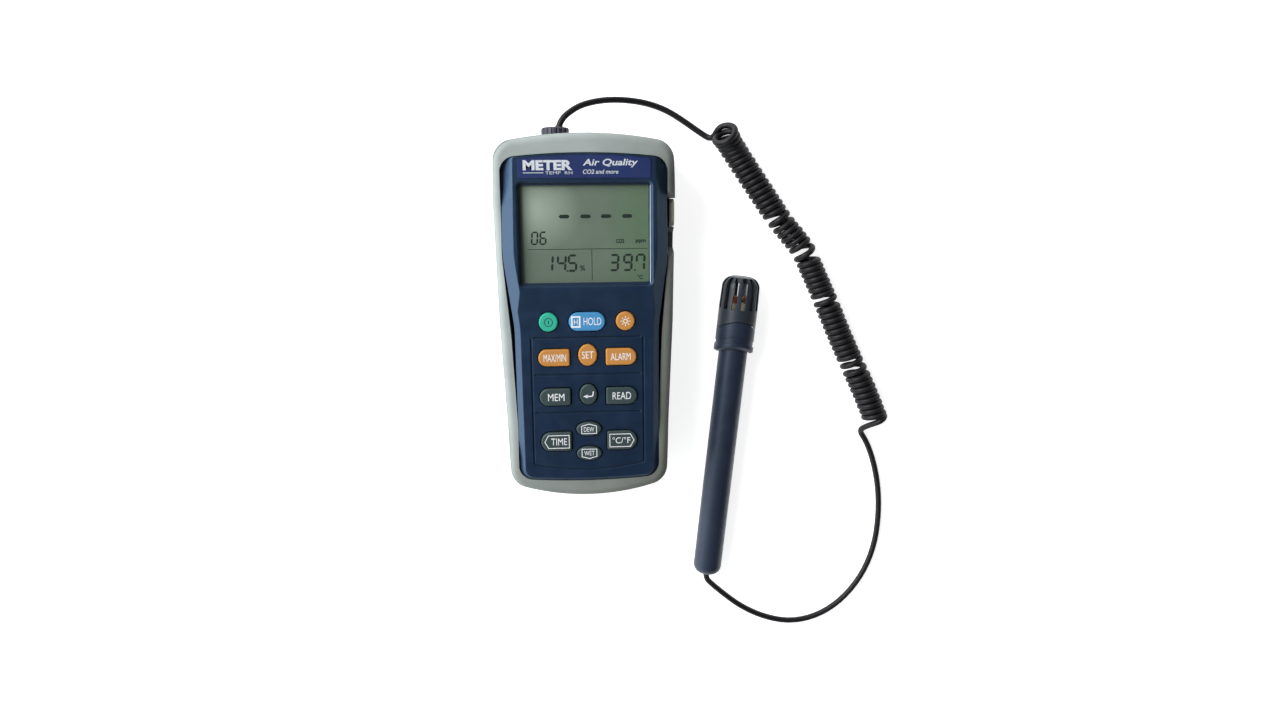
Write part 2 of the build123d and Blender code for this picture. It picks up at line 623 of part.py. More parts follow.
with BuildPart() as lcd_frame:
    with BuildSketch(Plane.XY.offset(board_top)):
        with Locations((0, WINDOW_Y)):
            Rectangle(GLASS[0] + 2 * FRAME_WALL, GLASS[1] + 2 * FRAME_WALL)
            Rectangle(GLASS[0] + 0.4, GLASS[1] + 0.4, mode=Mode.SUBTRACT)
    extrude(amount=GLASS_BOTTOM + GLASS[2] - board_top)
    # shelf that carries the backlight
    with BuildSketch(Plane.XY.offset(GLASS_BOTTOM - BACKLIGHT[2] - 1.2)):
        with Locations((0, WINDOW_Y)):
            Rectangle(GLASS[0] + 2, GLASS[1] + 2)
            Rectangle(GLASS[0] - 8, GLASS[1] - 10, mode=Mode.SUBTRACT)
    extrude(amount=1.2)
    with BuildSketch(Plane.XY.offset(board_top)):
        with Locations((0, zebra_y)):
            Rectangle(GLASS[0] - 3.8, 2.0)
    extrude(amount=8, mode=Mode.SUBTRACT)
save(lcd_frame.part, "lcd_frame")

# ---------------------------------------------------------------- boards
with BuildPart() as main_board:
    with BuildSketch(Plane.XY.offset(MAIN_BOARD_Z)) as board:
        with Locations((0, -0.5)):
            RectangleRounded(56.0, 132.0, 4.0)
        with Locations((0, 40.0)):
            Rectangle(61.0, 40.0)
        with Locations(*CASE_SCREWS):
            Circle(BOSS_R + 0.4, mode=Mode.SUBTRACT)
        with Locations(*BOARD_SCREWS):
            Circle(BOARD_SCREW_R, mode=Mode.SUBTRACT)
        with Locations((PLUG_X, 66.5)):
            Rectangle(13.0, 14.0, mode=Mode.SUBTRACT)
    extrude(amount=BOARD_T)
save(main_board.part, "main_board")

CHIPS = [
    (0, -12, 14, 14, 1.6), (-12.5, -30, 9, 6, 1.4), (15, -28, 7, 7, 1.2),
    (-13, -52, 6, 4, 1.4), (12, -52, 10, 5, 1.8), (-18, -12, 4, 8, 2.2),
]
with BuildPart() as board_components:
    for chip_x, chip_y, chip_w, chip_l, chip_h in CHIPS:
        with BuildSketch(Plane.XY.offset(board_top)):
            with Locations((chip_x, chip_y)):
                Rectangle(chip_w, chip_l)
        extrude(amount=chip_h)
save(board_components.part, "board_components")

with BuildPart() as key_board:
    with BuildSketch(Plane.XY.offset(KEY_BOARD_Z)):
        with Locations((0, -28.8)):
            RectangleRounded(46.5, 70.4, 1.5)
    extrude(amount=BOARD_T)
save(key_board.part, "key_board")

with BuildPart() as board_header:
    with BuildSketch(Plane.XY.offset(board_top)):
        with Locations((0, -39.5)):
            with GridLocations(41, 0, 2, 1):
                Rectangle(2.5, 20)
    extrude(amount=KEY_BOARD_Z - board_top)
save(board_header.part, "board_header")

with BuildPart() as keypad_mat:
    with BuildSketch(Plane.XY.offset(KEY_BOARD_Z + BOARD_T)):
        with Locations((0, -28.8)):
            RectangleRounded(46.8, 71.0, 2.0)
    extrude(amount=MAT_TOP - KEY_BOARD_Z - BOARD_T)
save(keypad_mat.part, "keypad_mat")

with BuildPart() as board_screws:
    with BuildSketch(Plane.XY.offset(MAIN_BOARD_Z - 1.2)):
        with Locations(*BOARD_SCREWS):
            Circle(1.7)
    extrude(amount=1.2)
    with BuildSketch(Plane.XY.offset(MAIN_BOARD_Z)):
        with Locations(*BOARD_SCREWS):
            Circle(BOARD_SCREW_R)
    extrude(amount=6.0)
save(board_screws.part, "board_screws")

# ---------------------------------------------------------------- keys
for key_name, (shape, key_x, key_y, key_w, key_h) in KEYS.items():
    flange_bottom = KEY_FLANGE_TOP - KEY_FLANGE_T
    with BuildPart() as key:
        with BuildSketch(Plane.XY.offset(flange_bottom)):
            with Locations((key_x, key_y)):
                add(key_outline(shape, key_w, key_h))
        extrude(amount=KEY_TOP - flange_bottom)
        fillet(key.edges().group_by(Axis.Z)[-1], KEY_CROWN)
        with BuildSketch(Plane.XY.offset(flange_bottom)):
            with Locations((key_x, key_y)):
                add(key_outline(shape, key_w, key_h, KEY_FLANGE))
        extrude(amount=KEY_FLANGE_T)
    save(key.part, key_name)

# ---------------------------------------------------------------- sensors and sockets
with BuildPart() as co2_sensor:
    with BuildSketch(Plane.XY.offset(9.2)):
        with Locations((-3, 36)):
            RectangleRounded(30.0, 46.0, 2.0)
    extrude(amount=10.8)
    # pins up to the board
    with BuildSketch(Plane.XY.offset(20.0)):
        with Locations((-3, 36)):
            with GridLocations(24, 38, 2, 2):
                Circle(1.0)
    extrude(amount=MAIN_BOARD_Z - 20.0)
    with BuildSketch(Plane.XY.offset(9.2)):
        with Locations((-3, 36)):
            with GridLocations(0, 6, 1, 5):
                SlotOverall(16, 1.6)
    extrude(amount=2.0, mode=Mode.SUBTRACT)
save(co2_sensor.part, "co2_sensor")

with BuildPart() as buzzer:
    with BuildSketch(Plane.XY.offset(MAIN_BOARD_Z - 4.5)):
        with Locations((20, 22)):
            Circle(5.0)
    extrude(amount=4.5)
    with BuildSketch(Plane.XY.offset(MAIN_BOARD_Z - 4.5)):
        with Locations((20, 22)):
            Circle(1.0)
    extrude(amount=1.0, mode=Mode.SUBTRACT)
save(buzzer.part, "buzzer")

with BuildPart() as probe_socket:
    with BuildSketch(along_y(PLUG_X, 62, PLUG_Z)):
        Circle(PROBE_SOCKET_R)
    extrude(amount=PLUG_LOW_Y - 0.4 - 62)
    with BuildSketch(along_y(PLUG_X, 65, PLUG_Z)):
        Circle(PROBE_BORE_R)
    extrude(amount=12, mode=Mode.SUBTRACT)
    with BuildSketch(along_y(PLUG_X, 62, PLUG_Z)):
        with PolarLocations(1.7, 4, start_angle=45):
            Circle(0.45)
    extrude(amount=12, mode=Mode.SUBTRACT)
save(probe_socket.part, "probe_socket")

with BuildPart() as data_socket:
    with BuildSketch(Plane.XY.offset(SIDE_SOCKET_Z - 4)):
        with Locations((27.0, DATA_Y)):
            Rectangle(11.0, 8.0)
    extrude(amount=MAIN_BOARD_Z - SIDE_SOCKET_Z + 4)
    with BuildSketch(along_x(30, DATA_Y, SIDE_SOCKET_Z)):
        Circle(DATA_NOSE_R)
    extrude(amount=SOCKET_FACE_X - 30)
    with BuildSketch(along_x(SOCKET_FACE_X - DATA_DEPTH, DATA_Y, SIDE_SOCKET_Z)):
        Circle(DATA_BORE_R)
    extrude(amount=DATA_DEPTH + 1, mode=Mode.SUBTRACT)
save(data_socket.part, "data_socket")

with BuildPart() as dc_socket:
    with BuildSketch(Plane.XY.offset(SIDE_SOCKET_Z - 4.6)):
        with Locations((26.0, DC_Y)):
            Rectangle(13.0, 9.2)
    extrude(amount=MAIN_BOARD_Z - SIDE_SOCKET_Z + 4.6)
    with BuildSketch(along_x(30, DC_Y, SIDE_SOCKET_Z)):
        Circle(DC_NOSE_R)
    extrude(amount=SOCKET_FACE_X - 30)
    with BuildSketch(along_x(SOCKET_FACE_X - DC_DEPTH, DC_Y, SIDE_SOCKET_Z)):
        Circle(DC_BORE_R)
        Circle(DC_PIN_R, mode=Mode.SUBTRACT)
    extrude(amount=DC_DEPTH + 1, mode=Mode.SUBTRACT)
save(dc_socket.part, "dc_socket")

# ---------------------------------------------------------------- flap over the power socket
with BuildPart() as jack_flap:
    with BuildSketch(along_x(FLAP_X, 0, 0)) as flap_face:
        with Locations((DC_Y, FLAP_PIVOT_Z + FLAP[2] / 2)):
            Rectangle(FLAP[1], FLAP[2] - 1.2)
        fillet(flap_face.vertices().group_by(Axis.Y)[-1], 3.0)
    extrude(amount=FLAP[0])
    fillet(jack_flap.edges().filter_by(GeomType.CIRCLE).group_by(Axis.X)[-1], 0.5)
    # hinge barrel at the foot, with room for a lug at each end
    with BuildSketch(along_y(FLAP_X + FLAP[0] / 2, DC_Y - FLAP[1] / 2, FLAP_PIVOT_Z)):
        Circle(FLAP_BARREL_R)
    extrude(amount=FLAP[1])
    lug_room = FLAP_LUG + 0.4
    for corner_y in (DC_Y - FLAP[1] / 2, DC_Y + FLAP[1] / 2 - lug_room):
        with BuildSketch(along_y(FLAP_X + FLAP[0] / 2, corner_y, FLAP_PIVOT_Z)):
            Rectangle(4, 2 * FLAP_NOTCH)
        extrude(amount=lug_room, mode=Mode.SUBTRACT)
    with BuildSketch(along_y(FLAP_X + FLAP[0] / 2, DC_Y - FLAP[1] / 2, FLAP_PIVOT_Z)):
        Circle(FLAP_PIN_R + 0.05)
    extrude(amount=FLAP[1], mode=Mode.SUBTRACT)
save(jack_flap.part, "jack_flap")

with BuildPart() as flap_pin:
    with BuildSketch(along_y(FLAP_X + FLAP[0] / 2, DC_Y - FLAP[1] / 2 + 0.2, FLAP_PIVOT_Z)):
        Circle(FLAP_PIN_R)
    extrude(amount=FLAP[1] - 0.4)
    # end lugs that hold the pin on the boot
    for lug_y in (DC_Y - FLAP[1] / 2 + 0.2, DC_Y + FLAP[1] / 2 - 0.2 - FLAP_LUG):
        with BuildSketch(along_y(FLAP_X + FLAP[0] / 2, lug_y, FLAP_PIVOT_Z - 0.1)):
            Rectangle(2.0, 2.2)
        extrude(amount=FLAP_LUG)
save(flap_pin.part, "flap_pin")

# ---------------------------------------------------------------- power
with BuildPart() as battery_cells:
    for index in range(CELL_COUNT):
        cell_y = TRAY_Y + (index - (CELL_COUNT - 1) / 2) * CELL_PITCH
        way = 1 if index % 2 == 0 else -1
        with BuildSketch(along_x(-CELL_LEN / 2, cell_y, CELL_Z)):
            Circle(CELL_R)
        extrude(amount=CELL_LEN)
        with BuildSketch(Plane(origin=(way * CELL_LEN / 2, cell_y, CELL_Z), z_dir=(way, 0, 0))):
            Circle(1.9)
        extrude(amount=0.9)
save(battery_cells.part, "battery_cells")

with BuildPart() as battery_contacts:
    for index in range(CELL_COUNT):
        cell_y = TRAY_Y + (index - (CELL_COUNT - 1) / 2) * CELL_PITCH
        way = -1 if index % 2 == 0 else 1
        with BuildSketch(Plane(origin=(way * CELL_LEN / 2, cell_y, CELL_Z), z_dir=(way, 0, 0))):
            Circle(3.2)
        extrude(amount=2.0, taper=18)
    for side in (-1, 1):
        with BuildSketch(Plane(origin=(side * 24.1, TRAY_Y, CELL_Z), z_dir=(side, 0, 0))):
            Rectangle(8.0, 60.0)
        extrude(amount=0.4)
save(battery_contacts.part, "battery_contacts")

with BuildPart() as battery_door:
    with BuildSketch(Plane.XY.offset(CASE_BACK)):
        with Locations((0, TRAY_Y)):
            Rectangle(DOOR[0], DOOR[1])
        with Locations((0, door_screw_y)):
            Rectangle(DOOR_TAB[0], DOOR_TAB[1])
    extrude(amount=DOOR[2])
    with Locations(Plane(origin=(0, door_screw_y, CASE_BACK), z_dir=(0, 0, -1))):
        CounterSinkHole(1.3, 2.3, depth=DOOR[2] + 1)
    with BuildSketch(Plane.XY.offset(CASE_BACK - 1)):
        with Locations((0, TRAY_Y + 16)):
            with GridLocations(0, 2.4, 1, 4):
                SlotOverall(18, 1.0)
    extrude(amount=1.6, mode=Mode.SUBTRACT)
save(battery_door.part, "battery_door")

with BuildPart() as door_screw:
    with BuildSketch(Plane.XY.offset(CASE_BACK + 0.1)):
        with Locations((0, door_screw_y)):
            Circle(2.1)
    extrude(amount=1.0, taper=40)
    with BuildSketch(Plane.XY.offset(CASE_BACK + 0.5)):
        with Locations((0, door_screw_y)):
            Circle(1.0)
    extrude(amount=6.5)
save(door_screw.part, "door_screw")

with BuildPart() as case_screws:
    with BuildSketch(Plane.XY.offset(CASE_BACK + 0.9)):
        with Locations(*CASE_SCREWS):
            Circle(2.0)
    extrude(amount=1.7)
    with BuildSketch(Plane.XY.offset(CASE_BACK + 0.9)):
        with Locations(*CASE_SCREWS):
            RectangleRounded(2.4, 0.6, 0.2)
            RectangleRounded(0.6, 2.4, 0.2)
    extrude(amount=0.8, mode=Mode.SUBTRACT)
    with BuildSketch(Plane.XY.offset(CASE_BACK + 2.6)):
        with Locations(*CASE_SCREWS):
            Circle(CASE_SCREW_R)
    extrude(amount=20.0)
save(case_screws.part, "case_screws")

# ---------------------------------------------------------------- tilt stand
with BuildPart() as tilt_stand:
    with BuildSketch(Plane.XY.offset(3.1)) as leaf:
        with Locations((0, PIVOT_Y - STAND_LEN / 2)):
            Rectangle(STAND_W, STAND_LEN)
        fillet(leaf.vertices().group_by(Axis.Y)[0], 4.0)
        with Locations((0, PIVOT_Y - STAND_LEN / 2 - 2)):
            RectangleRounded(*STAND_HOLE, 4.0, mode=Mode.SUBTRACT)
    extrude(amount=STAND_T)
    with BuildSketch(along_x(-STAND_W / 2, PIVOT_Y, PIVOT_Z)):
        Circle(BARREL_R)
    extrude(amount=STAND_W)
    with BuildSketch(along_x(-STAND_W / 2, PIVOT_Y, PIVOT_Z)):
        Circle(STAND_BORE_R)
    extrude(amount=STAND_W, mode=Mode.SUBTRACT)
save(tilt_stand.part, "tilt_stand")

with BuildPart() as stand_pin:
    with BuildSketch(along_x(-POCKET_W / 2 - 2, PIVOT_Y, PIVOT_Z)):
        Circle(PIN_R)
    extrude(amount=POCKET_W + 4)
save(stand_pin.part, "stand_pin")

# ---------------------------------------------------------------- plug
with BuildPart() as plug_grip:
    with BuildSketch(along_y(PLUG_X, PLUG_LOW_Y, PLUG_Z)):
        Circle(PLUG_R)
    extrude(amount=PLUG_HIGH_Y - PLUG_LOW_Y)
    fillet(plug_grip.edges().group_by(Axis.Y)[-1], 1.0)
    with BuildSketch(along_y(PLUG_X, PLUG_LOW_Y - 1, PLUG_Z)):
        with PolarLocations(PLUG_R + 0.15, PLUG_RIBS):
            Circle(0.55)
    extrude(amount=PLUG_HIGH_Y - PLUG_LOW_Y + 2, mode=Mode.SUBTRACT)
    with BuildSketch(along_y(PLUG_X, PLUG_LOW_Y, PLUG_Z)):
        with PolarLocations(1.7, 4, start_angle=45):
            Circle(0.4)
    extrude(amount=2.0, mode=Mode.SUBTRACT)
save(plug_grip.part, "plug_grip")

with BuildPart() as plug_nose:
    with BuildSketch(along_y(PLUG_X, NOSE_LOW_Y, PLUG_Z)):
        Circle(NOSE_R)
        Circle(NOSE_R - NOSE_WALL, mode=Mode.SUBTRACT)
    extrude(amount=PLUG_LOW_Y - NOSE_LOW_Y)
save(plug_nose.part, "plug_nose")

with BuildPart() as plug_pins:
    with BuildSketch(along_y(PLUG_X, 63.0, PLUG_Z)):
        with PolarLocations(1.7, 4, start_angle=45):
            Circle(0.4)
    extrude(amount=PLUG_LOW_Y + 2.0 - 63.0)
save(plug_pins.part, "plug_pins")

with BuildPart() as plug_relief:
    with BuildSketch(along_y(LEAD_ROUTE[0][0], PLUG_HIGH_Y, LEAD_ROUTE[0][2])):
        Circle(RELIEF_R)
    extrude(amount=RELIEF_END_Y - PLUG_HIGH_Y, taper=14)
save(plug_relief.part, "plug_relief")

# ---------------------------------------------------------------- cord
save(cord_tube("cord_lead", LEAD_ROUTE, CORD_D / 2), "cord_lead")
save(cord_tube("cord_curl", CURL_ROUTE, CURL_R), "cord_curl")
save(cord_tube("cord_tail", TAIL_ROUTE, CORD_D / 2), "cord_tail")

# ---------------------------------------------------------------- probe
def tip_side(at_side, at_middle):
    """Everything on the tip side of a curved line across the probe."""
    edge = RING_R + 3
    corner = at_middle - (at_middle - at_side) * (edge / CAP_R) ** 2
    with BuildPart() as cutter:
        with BuildSketch(PROBE_PROFILE.offset(-20)):
            with BuildLine():
                ThreePointArc((corner, -edge), (at_middle, 0), (corner, edge))
                Polyline((corner, edge), (PROBE_LEN + 20, edge), (PROBE_LEN + 20, -edge), (corner, -edge))
            make_face()
        extrude(amount=40)
    return cutter.part


def reach(point):
    """How far a point is from the probe's axis."""
    return (point - TAIL).cross(PROBE_DIR).length


def ring(inner_r, outer_r, start, end):
    """Ring about the probe's axis between two stations."""
    with BuildPart() as annulus:
        with BuildSketch(across_probe(start)):
            Circle(outer_r)
            Circle(inner_r, mode=Mode.SUBTRACT)
        extrude(amount=end - start)
    return annulus.part


def band(inner_r, outer_r, low_line, high_line):
    """Ring about the probe's axis between two curved lines."""
    with BuildPart() as cut_ring:
        add(ring(inner_r, outer_r, low_line[0] - 1, high_line[1] + 1))
        add(tip_side(*low_line), mode=Mode.INTERSECT)
        add(tip_side(*high_line), mode=Mode.SUBTRACT)
    return cut_ring.part


with BuildPart() as probe_handle:
    with BuildSketch(PROBE_PROFILE) as profile:
        with BuildLine():
            Polyline((0, 0), (0, HANDLE_R), (HANDLE_END, HANDLE_R), (HANDLE_END, 0), (0, 0))
        make_face()
        fillet(profile.vertices().sort_by(Axis.X)[:2].sort_by(Axis.Y)[-1], TAIL_ROUND)
    revolve(axis=PROBE_AXIS)
    with BuildSketch(across_probe(6.0)):
        Circle(HANDLE_BORE_R)
    extrude(amount=HANDLE_END, mode=Mode.SUBTRACT)
    with BuildSketch(across_probe(-1.0)):
        Circle(GLAND_R)
    extrude(amount=12, mode=Mode.SUBTRACT)
save(probe_handle.part, "probe_handle")

with BuildPart() as probe_collar:
    add(band(HANDLE_R, RING_R, FOOT, RING_LOW))
    outer_edges = probe_collar.edges().filter_by(lambda edge: reach(edge @ 0.4) > RING_R - 0.1)
    chamfer(outer_edges.sort_by(PROBE_AXIS)[0], FOOT_CHAMFER)
    add(band(HANDLE_R, SUNK_R, RING_LOW, RING_HIGH))
    add(band(HANDLE_R, CAP_R, RING_HIGH, SEAM))
    # spigot that the cap is pushed over
    add(ring(HANDLE_R, SPIGOT_R, FOOT[1] + 1, SEAM[1] + 3))
save(probe_collar.part, "probe_collar")

with BuildPart() as probe_cap:
    with BuildSketch(PROBE_PROFILE) as profile:
        with BuildLine():
            Polyline(
                (SEAM[0] - 6, 0), (SEAM[0] - 6, CAP_R), (SEAM[0] + 13, CAP_R),
                (PROBE_LEN, CAP_TIP_R), (PROBE_LEN, 0), (SEAM[0] - 6, 0),
            )
        make_face()
        fillet(profile.vertices().sort_by(Axis.X)[-2:].sort_by(Axis.Y)[-1], CAP_ROUND)
    revolve(axis=PROBE_AXIS)
    with BuildSketch(across_probe(SEAM[0] - 10)):
        Circle(CAP_R - CAP_WALL)
    extrude(amount=PROBE_LEN - SEAM[0] + 10 - 3.0, mode=Mode.SUBTRACT)
    add(tip_side(SEAM[0] + SEAM_GAP, SEAM[1] + SEAM_GAP), mode=Mode.INTERSECT)
    with BuildSketch(across_probe(SLOT_LOW)):
        with PolarLocations(CAP_R - 1.0, SLOTS, start_angle=SLOT_START):
            Rectangle(6.0, SLOT_W)
    extrude(amount=SLOT_HIGH - SLOT_LOW, mode=Mode.SUBTRACT)
save(probe_cap.part, "probe_cap")

with BuildPart() as probe_board:
    with BuildSketch(across_probe(60.0)):
        Rectangle(8.0, 1.2)
    extrude(amount=68.0)
save(probe_board.part, "probe_board")

with BuildPart() as sensor_holder:
    with BuildSketch(across_probe(128.0)):
        RectangleRounded(9.4, 6.4, 1.5)
    extrude(amount=ELEMENTS_FROM - 128.0)
save(sensor_holder.part, "sensor_holder")

with BuildPart() as humidity_sensor:
    with BuildSketch(across_probe(ELEMENTS_FROM)):
        with Locations((-2.0, 0)):
            Rectangle(3.6, 5.2)
    extrude(amount=3.2)
save(humidity_sensor.part, "humidity_sensor")

with BuildPart() as thermistor:
    with BuildSketch(across_probe(ELEMENTS_FROM)):
        with Locations((2.6, 0.6), (2.6, -0.6)):
            Circle(0.25)
    extrude(amount=2.0)
    with Locations(across_probe(ELEMENTS_FROM + 2.4).location):
        with Locations((2.6, 0, 0)):
            Sphere(1.3)
save(thermistor.part, "thermistor")

with BuildPart() as probe_gland:
    with BuildSketch(across_probe(-0.6)):
        Circle(GLAND_R)
    extrude(amount=8.0)
save(probe_gland.part, "probe_gland")

print("probe length", round(PROBE_LEN, 1), "tip height", round(TIP.Z, 2))
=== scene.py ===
"""Looks of a hand-held carbon dioxide meter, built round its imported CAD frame.

Everything is in metres in the frame's own axes: X across the meter, Y up it and Z out
of its display. Lists of places are written in millimetres, and MM turns them into metres.
"""
import json
import math

import bmesh
import bpy
from mathutils import Matrix, Vector


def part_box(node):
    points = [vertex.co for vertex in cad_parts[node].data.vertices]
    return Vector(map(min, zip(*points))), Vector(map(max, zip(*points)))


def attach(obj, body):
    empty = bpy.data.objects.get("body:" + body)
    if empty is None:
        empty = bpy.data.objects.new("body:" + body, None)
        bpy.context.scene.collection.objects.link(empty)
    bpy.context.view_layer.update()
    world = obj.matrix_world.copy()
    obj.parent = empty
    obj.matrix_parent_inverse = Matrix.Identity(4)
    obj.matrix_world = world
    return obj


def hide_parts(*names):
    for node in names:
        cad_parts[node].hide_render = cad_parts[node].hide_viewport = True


MM = 0.001
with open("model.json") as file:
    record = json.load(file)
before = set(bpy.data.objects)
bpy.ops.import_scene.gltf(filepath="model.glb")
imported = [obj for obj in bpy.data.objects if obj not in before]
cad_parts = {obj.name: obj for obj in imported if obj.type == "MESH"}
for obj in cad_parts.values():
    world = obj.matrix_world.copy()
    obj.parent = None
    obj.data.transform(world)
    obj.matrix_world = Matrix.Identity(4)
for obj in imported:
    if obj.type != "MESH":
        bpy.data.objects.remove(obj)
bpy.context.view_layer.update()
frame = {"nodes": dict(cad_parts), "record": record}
nodes = frame["nodes"]

# ---------------------------------------------------------------- sizes, in millimetres
CORD_D = 2.8
TURN_STEPS = 14            # points of the curly cord's line in one turn
LAST_STEPS = TURN_STEPS * 5 // 8     # points of the part of a turn that leads into the tail
LAST_PITCH = 3.0
TURN_PLAY = 0.012          # how unevenly wide the turns are, as a share of their radius
PRINT = 0.05               # how far printing stands proud of a surface
LEGEND_LINE = 0.34         # width of the outlines round the lower keys' words
CREASE = math.radians(32)  # edges sharper than this stay crisp

# The cord's plain stretches and the axis of its curly one, in millimetres
LEAD_ROUTE = [
    (-10.5, 84.6, 17.8),
    (-9.5, 87.8, 17.6),
    (-4.8, 91.8, 16.2),
    (0.8, 94.9, 13.2),
    (9.8, 97.0, 9.4),
    (19.5, 97.4, 5.8),
    (29.6, 96.3, 3.0),
    (38.8, 93.2, 1.9),
    (46.8, 88.3, 1.7),
    (53.6, 83.6, 1.6),
    (59.8, 79.6, 2.0),
]
CURL_ROUTE = [
    (63.6, 82.2, 12.0),
    (66.2, 78.7, 9.2),
    (70.0, 73.6, 7.0),
    (76.4, 64.4, 6.2),
    (83.5, 54.1, 6.2),
    (91.3, 42.7, 6.2),
    (97.6, 35.4, 6.2),
    (102.9, 28.9, 6.2),
    (107.4, 19.2, 6.2),
    (113.1, 7.2, 6.2),
    (120.8, -10.7, 6.2),
    (127.5, -25.0, 6.2),
    (134.9, -40.0, 6.2),
    (140.4, -53.2, 6.2),
]
TAIL_ROUTE = [
    (134.6, -58.8, 4.4),
    (134.8, -61.6, 1.9),
    (138.4, -66.8, 1.5),
    (142.3, -77.0, 1.5),
    (145.2, -90.4, 1.5),
    (146.0, -105.6, 1.5),
    (144.2, -122.2, 1.5),
    (138.2, -137.6, 1.5),
    (127.6, -150.8, 1.5),
    (114.8, -158.6, 1.5),
    (100.8, -160.8, 1.5),
    (86.8, -157.2, 1.5),
    (75.0, -150.6, 1.9),
    (66.4, -143.0, 3.4),
    (60.4, -137.0, 5.4),
    (57.06, -133.08, 6.84),
    (57.34, -130.5, 6.89),
]

# Groups of turns: how many, pitch, radius, and how far the turns lean along the axis
TURNS = [
    (1, 2.8, 5.4, 0.0),
    (1, 2.8, 5.0, 0.12),
    (14, 2.9, 4.7, 0.25),
    (1, 5.0, 4.6, 0.25),
    (5, 3.0, 4.5, 0.22),
    (1, 6.8, 4.5, 0.05),
    (7, 2.7, 4.5, 0.28),
    (1, 5.0, 4.5, 0.15),
    (10, 2.85, 4.6, 0.25),
    (2, 4.4, 4.6, 0.2),
    (8, 3.0, 4.75, 0.28),
]


# ---------------------------------------------------------------- materials
# painted light on the display glass: a greener tint towards its right, and a painted glare, a paler patch at
# its upper left
PAINTED_GREEN_LIGHT = (0.098, 0.178, 0.086, 1)
PAINTED_GLARE = (0.42, 0.51, 0.42, 1)
PAINTED_GLARE_PLACE = Vector((-21.0, 49.0, 33.4))
NAVY = (0.008, 0.018, 0.046)
BLUE_SHEEN = (0.45, 0.75, 1.0, 1.0)      # tint of the navy mouldings' reflections
BEVEL_PALE = (0.026, 0.046, 0.094, 1)
BEVEL_PALEST = (0.052, 0.090, 0.165, 1)
BEVEL_CORNER = Vector((-34.0, 65.0, 30.0))


def add_node(tree, kind, **values):
    """A new node with its named inputs set."""
    node = tree.nodes.new(kind)
    for key, value in values.items():
        if key in node.inputs:
            node.inputs[key].default_value = value
        else:
            setattr(node, key, value)
    return node


def noise(tree, coords, scale, detail=3.0, roughness=0.55):
    """Object-space noise texture of a given scale, per metre."""
    node = add_node(tree, "ShaderNodeTexNoise", Scale=scale, Detail=detail, Roughness=roughness)
    tree.links.new(coords, node.inputs["Vector"])
    return node.outputs["Fac"]


def spread(tree, value, low, high, from_low=0.3, from_high=0.7):
    """A value between from_low and from_high turned into one between low and high."""
    node = tree.nodes.new("ShaderNodeMapRange")
    for key, number in zip(("From Min", "From Max", "To Min", "To Max"), (from_low, from_high, low, high)):
        node.inputs[key].default_value = number
    tree.links.new(value, node.inputs["Value"])
    return node.outputs["Result"]


def overlay(tree, share, color, blend="MIX"):
    """Lays a colour, or the output of a node, over the shader's base colour by a share."""
    base = tree.nodes["Principled BSDF"].inputs["Base Color"]
    mix = add_node(tree, "ShaderNodeMix", data_type="RGBA", blend_type=blend)
    if isinstance(color, tuple):
        mix.inputs[7].default_value = color
    else:
        tree.links.new(color, mix.inputs[7])
    tree.links.new(share, mix.inputs[0])
    tree.links.new(base.links[0].from_socket, mix.inputs[6])
    tree.links.new(mix.outputs[2], base)


def reach(tree, kind, source, vector):
    """Distance of a coordinate from a place, or its dot product with a direction."""
    node = add_node(tree, "ShaderNodeVectorMath", operation=kind)
    tree.links.new(source, node.inputs[0])
    node.inputs[1].default_value = vector
    return node.outputs["Value"]


def surface(name, color, roughness, grain=0.0, grain_scale=2500, mottle=0.12, mottle_scale=60,
            gloss_play=0.06, edge=0.0, dust=0.0, **shader):
    """Moulded or rubbery surface: uneven colour and gloss, fine grain, soft edges, dust in patches."""
    material = bpy.data.materials.new(name)
    material.use_nodes = True
    tree = material.node_tree
    principled = tree.nodes["Principled BSDF"]
    coords = tree.nodes.new("ShaderNodeTexCoord").outputs["Object"]
    # colour: two close shades in soft patches, and a pale dust over them
    ramp = tree.nodes.new("ShaderNodeValToRGB")
    ramp.color_ramp.elements[0].position = 0.3
    ramp.color_ramp.elements[1].position = 0.7
    ramp.color_ramp.elements[0].color = (*[c * (1 - mottle) for c in color], 1)
    ramp.color_ramp.elements[1].color = (*[min(1, c * (1 + mottle)) for c in color], 1)
    tree.links.new(noise(tree, coords, mottle_scale, 5.0), ramp.inputs["Fac"])
    shade = ramp.outputs["Color"]
    if dust:
        mix = add_node(tree, "ShaderNodeMix", data_type="RGBA")
        mix.inputs[7].default_value = (0.5, 0.5, 0.47, 1)
        patches = noise(tree, coords, 220, 6.0, 0.7)
        tree.links.new(spread(tree, patches, 0.0, dust, 0.5, 0.75), mix.inputs[0])
        tree.links.new(shade, mix.inputs[6])
        shade = mix.outputs[2]
    tree.links.new(shade, principled.inputs["Base Color"])
    # gloss: worn and matt patches
    gloss = noise(tree, coords, mottle_scale * 3, 4.0)
    tree.links.new(
        spread(tree, gloss, roughness - gloss_play, roughness + gloss_play), principled.inputs["Roughness"]
    )
    # grain and rounded edges
    normal = None
    if edge:
        bevel = add_node(tree, "ShaderNodeBevel", samples=4)
        bevel.inputs["Radius"].default_value = edge * MM
        normal = bevel.outputs["Normal"]
    if grain:
        bump = add_node(tree, "ShaderNodeBump", Strength=0.6, Distance=grain * MM)
        tree.links.new(noise(tree, coords, grain_scale, 2.0), bump.inputs["Height"])
        if normal:
            tree.links.new(normal, bump.inputs["Normal"])
        normal = bump.outputs["Normal"]
    if normal:
        tree.links.new(normal, principled.inputs["Normal"])
    for key, value in shader.items():
        principled.inputs[key.replace("_", " ")].default_value = value
    return material


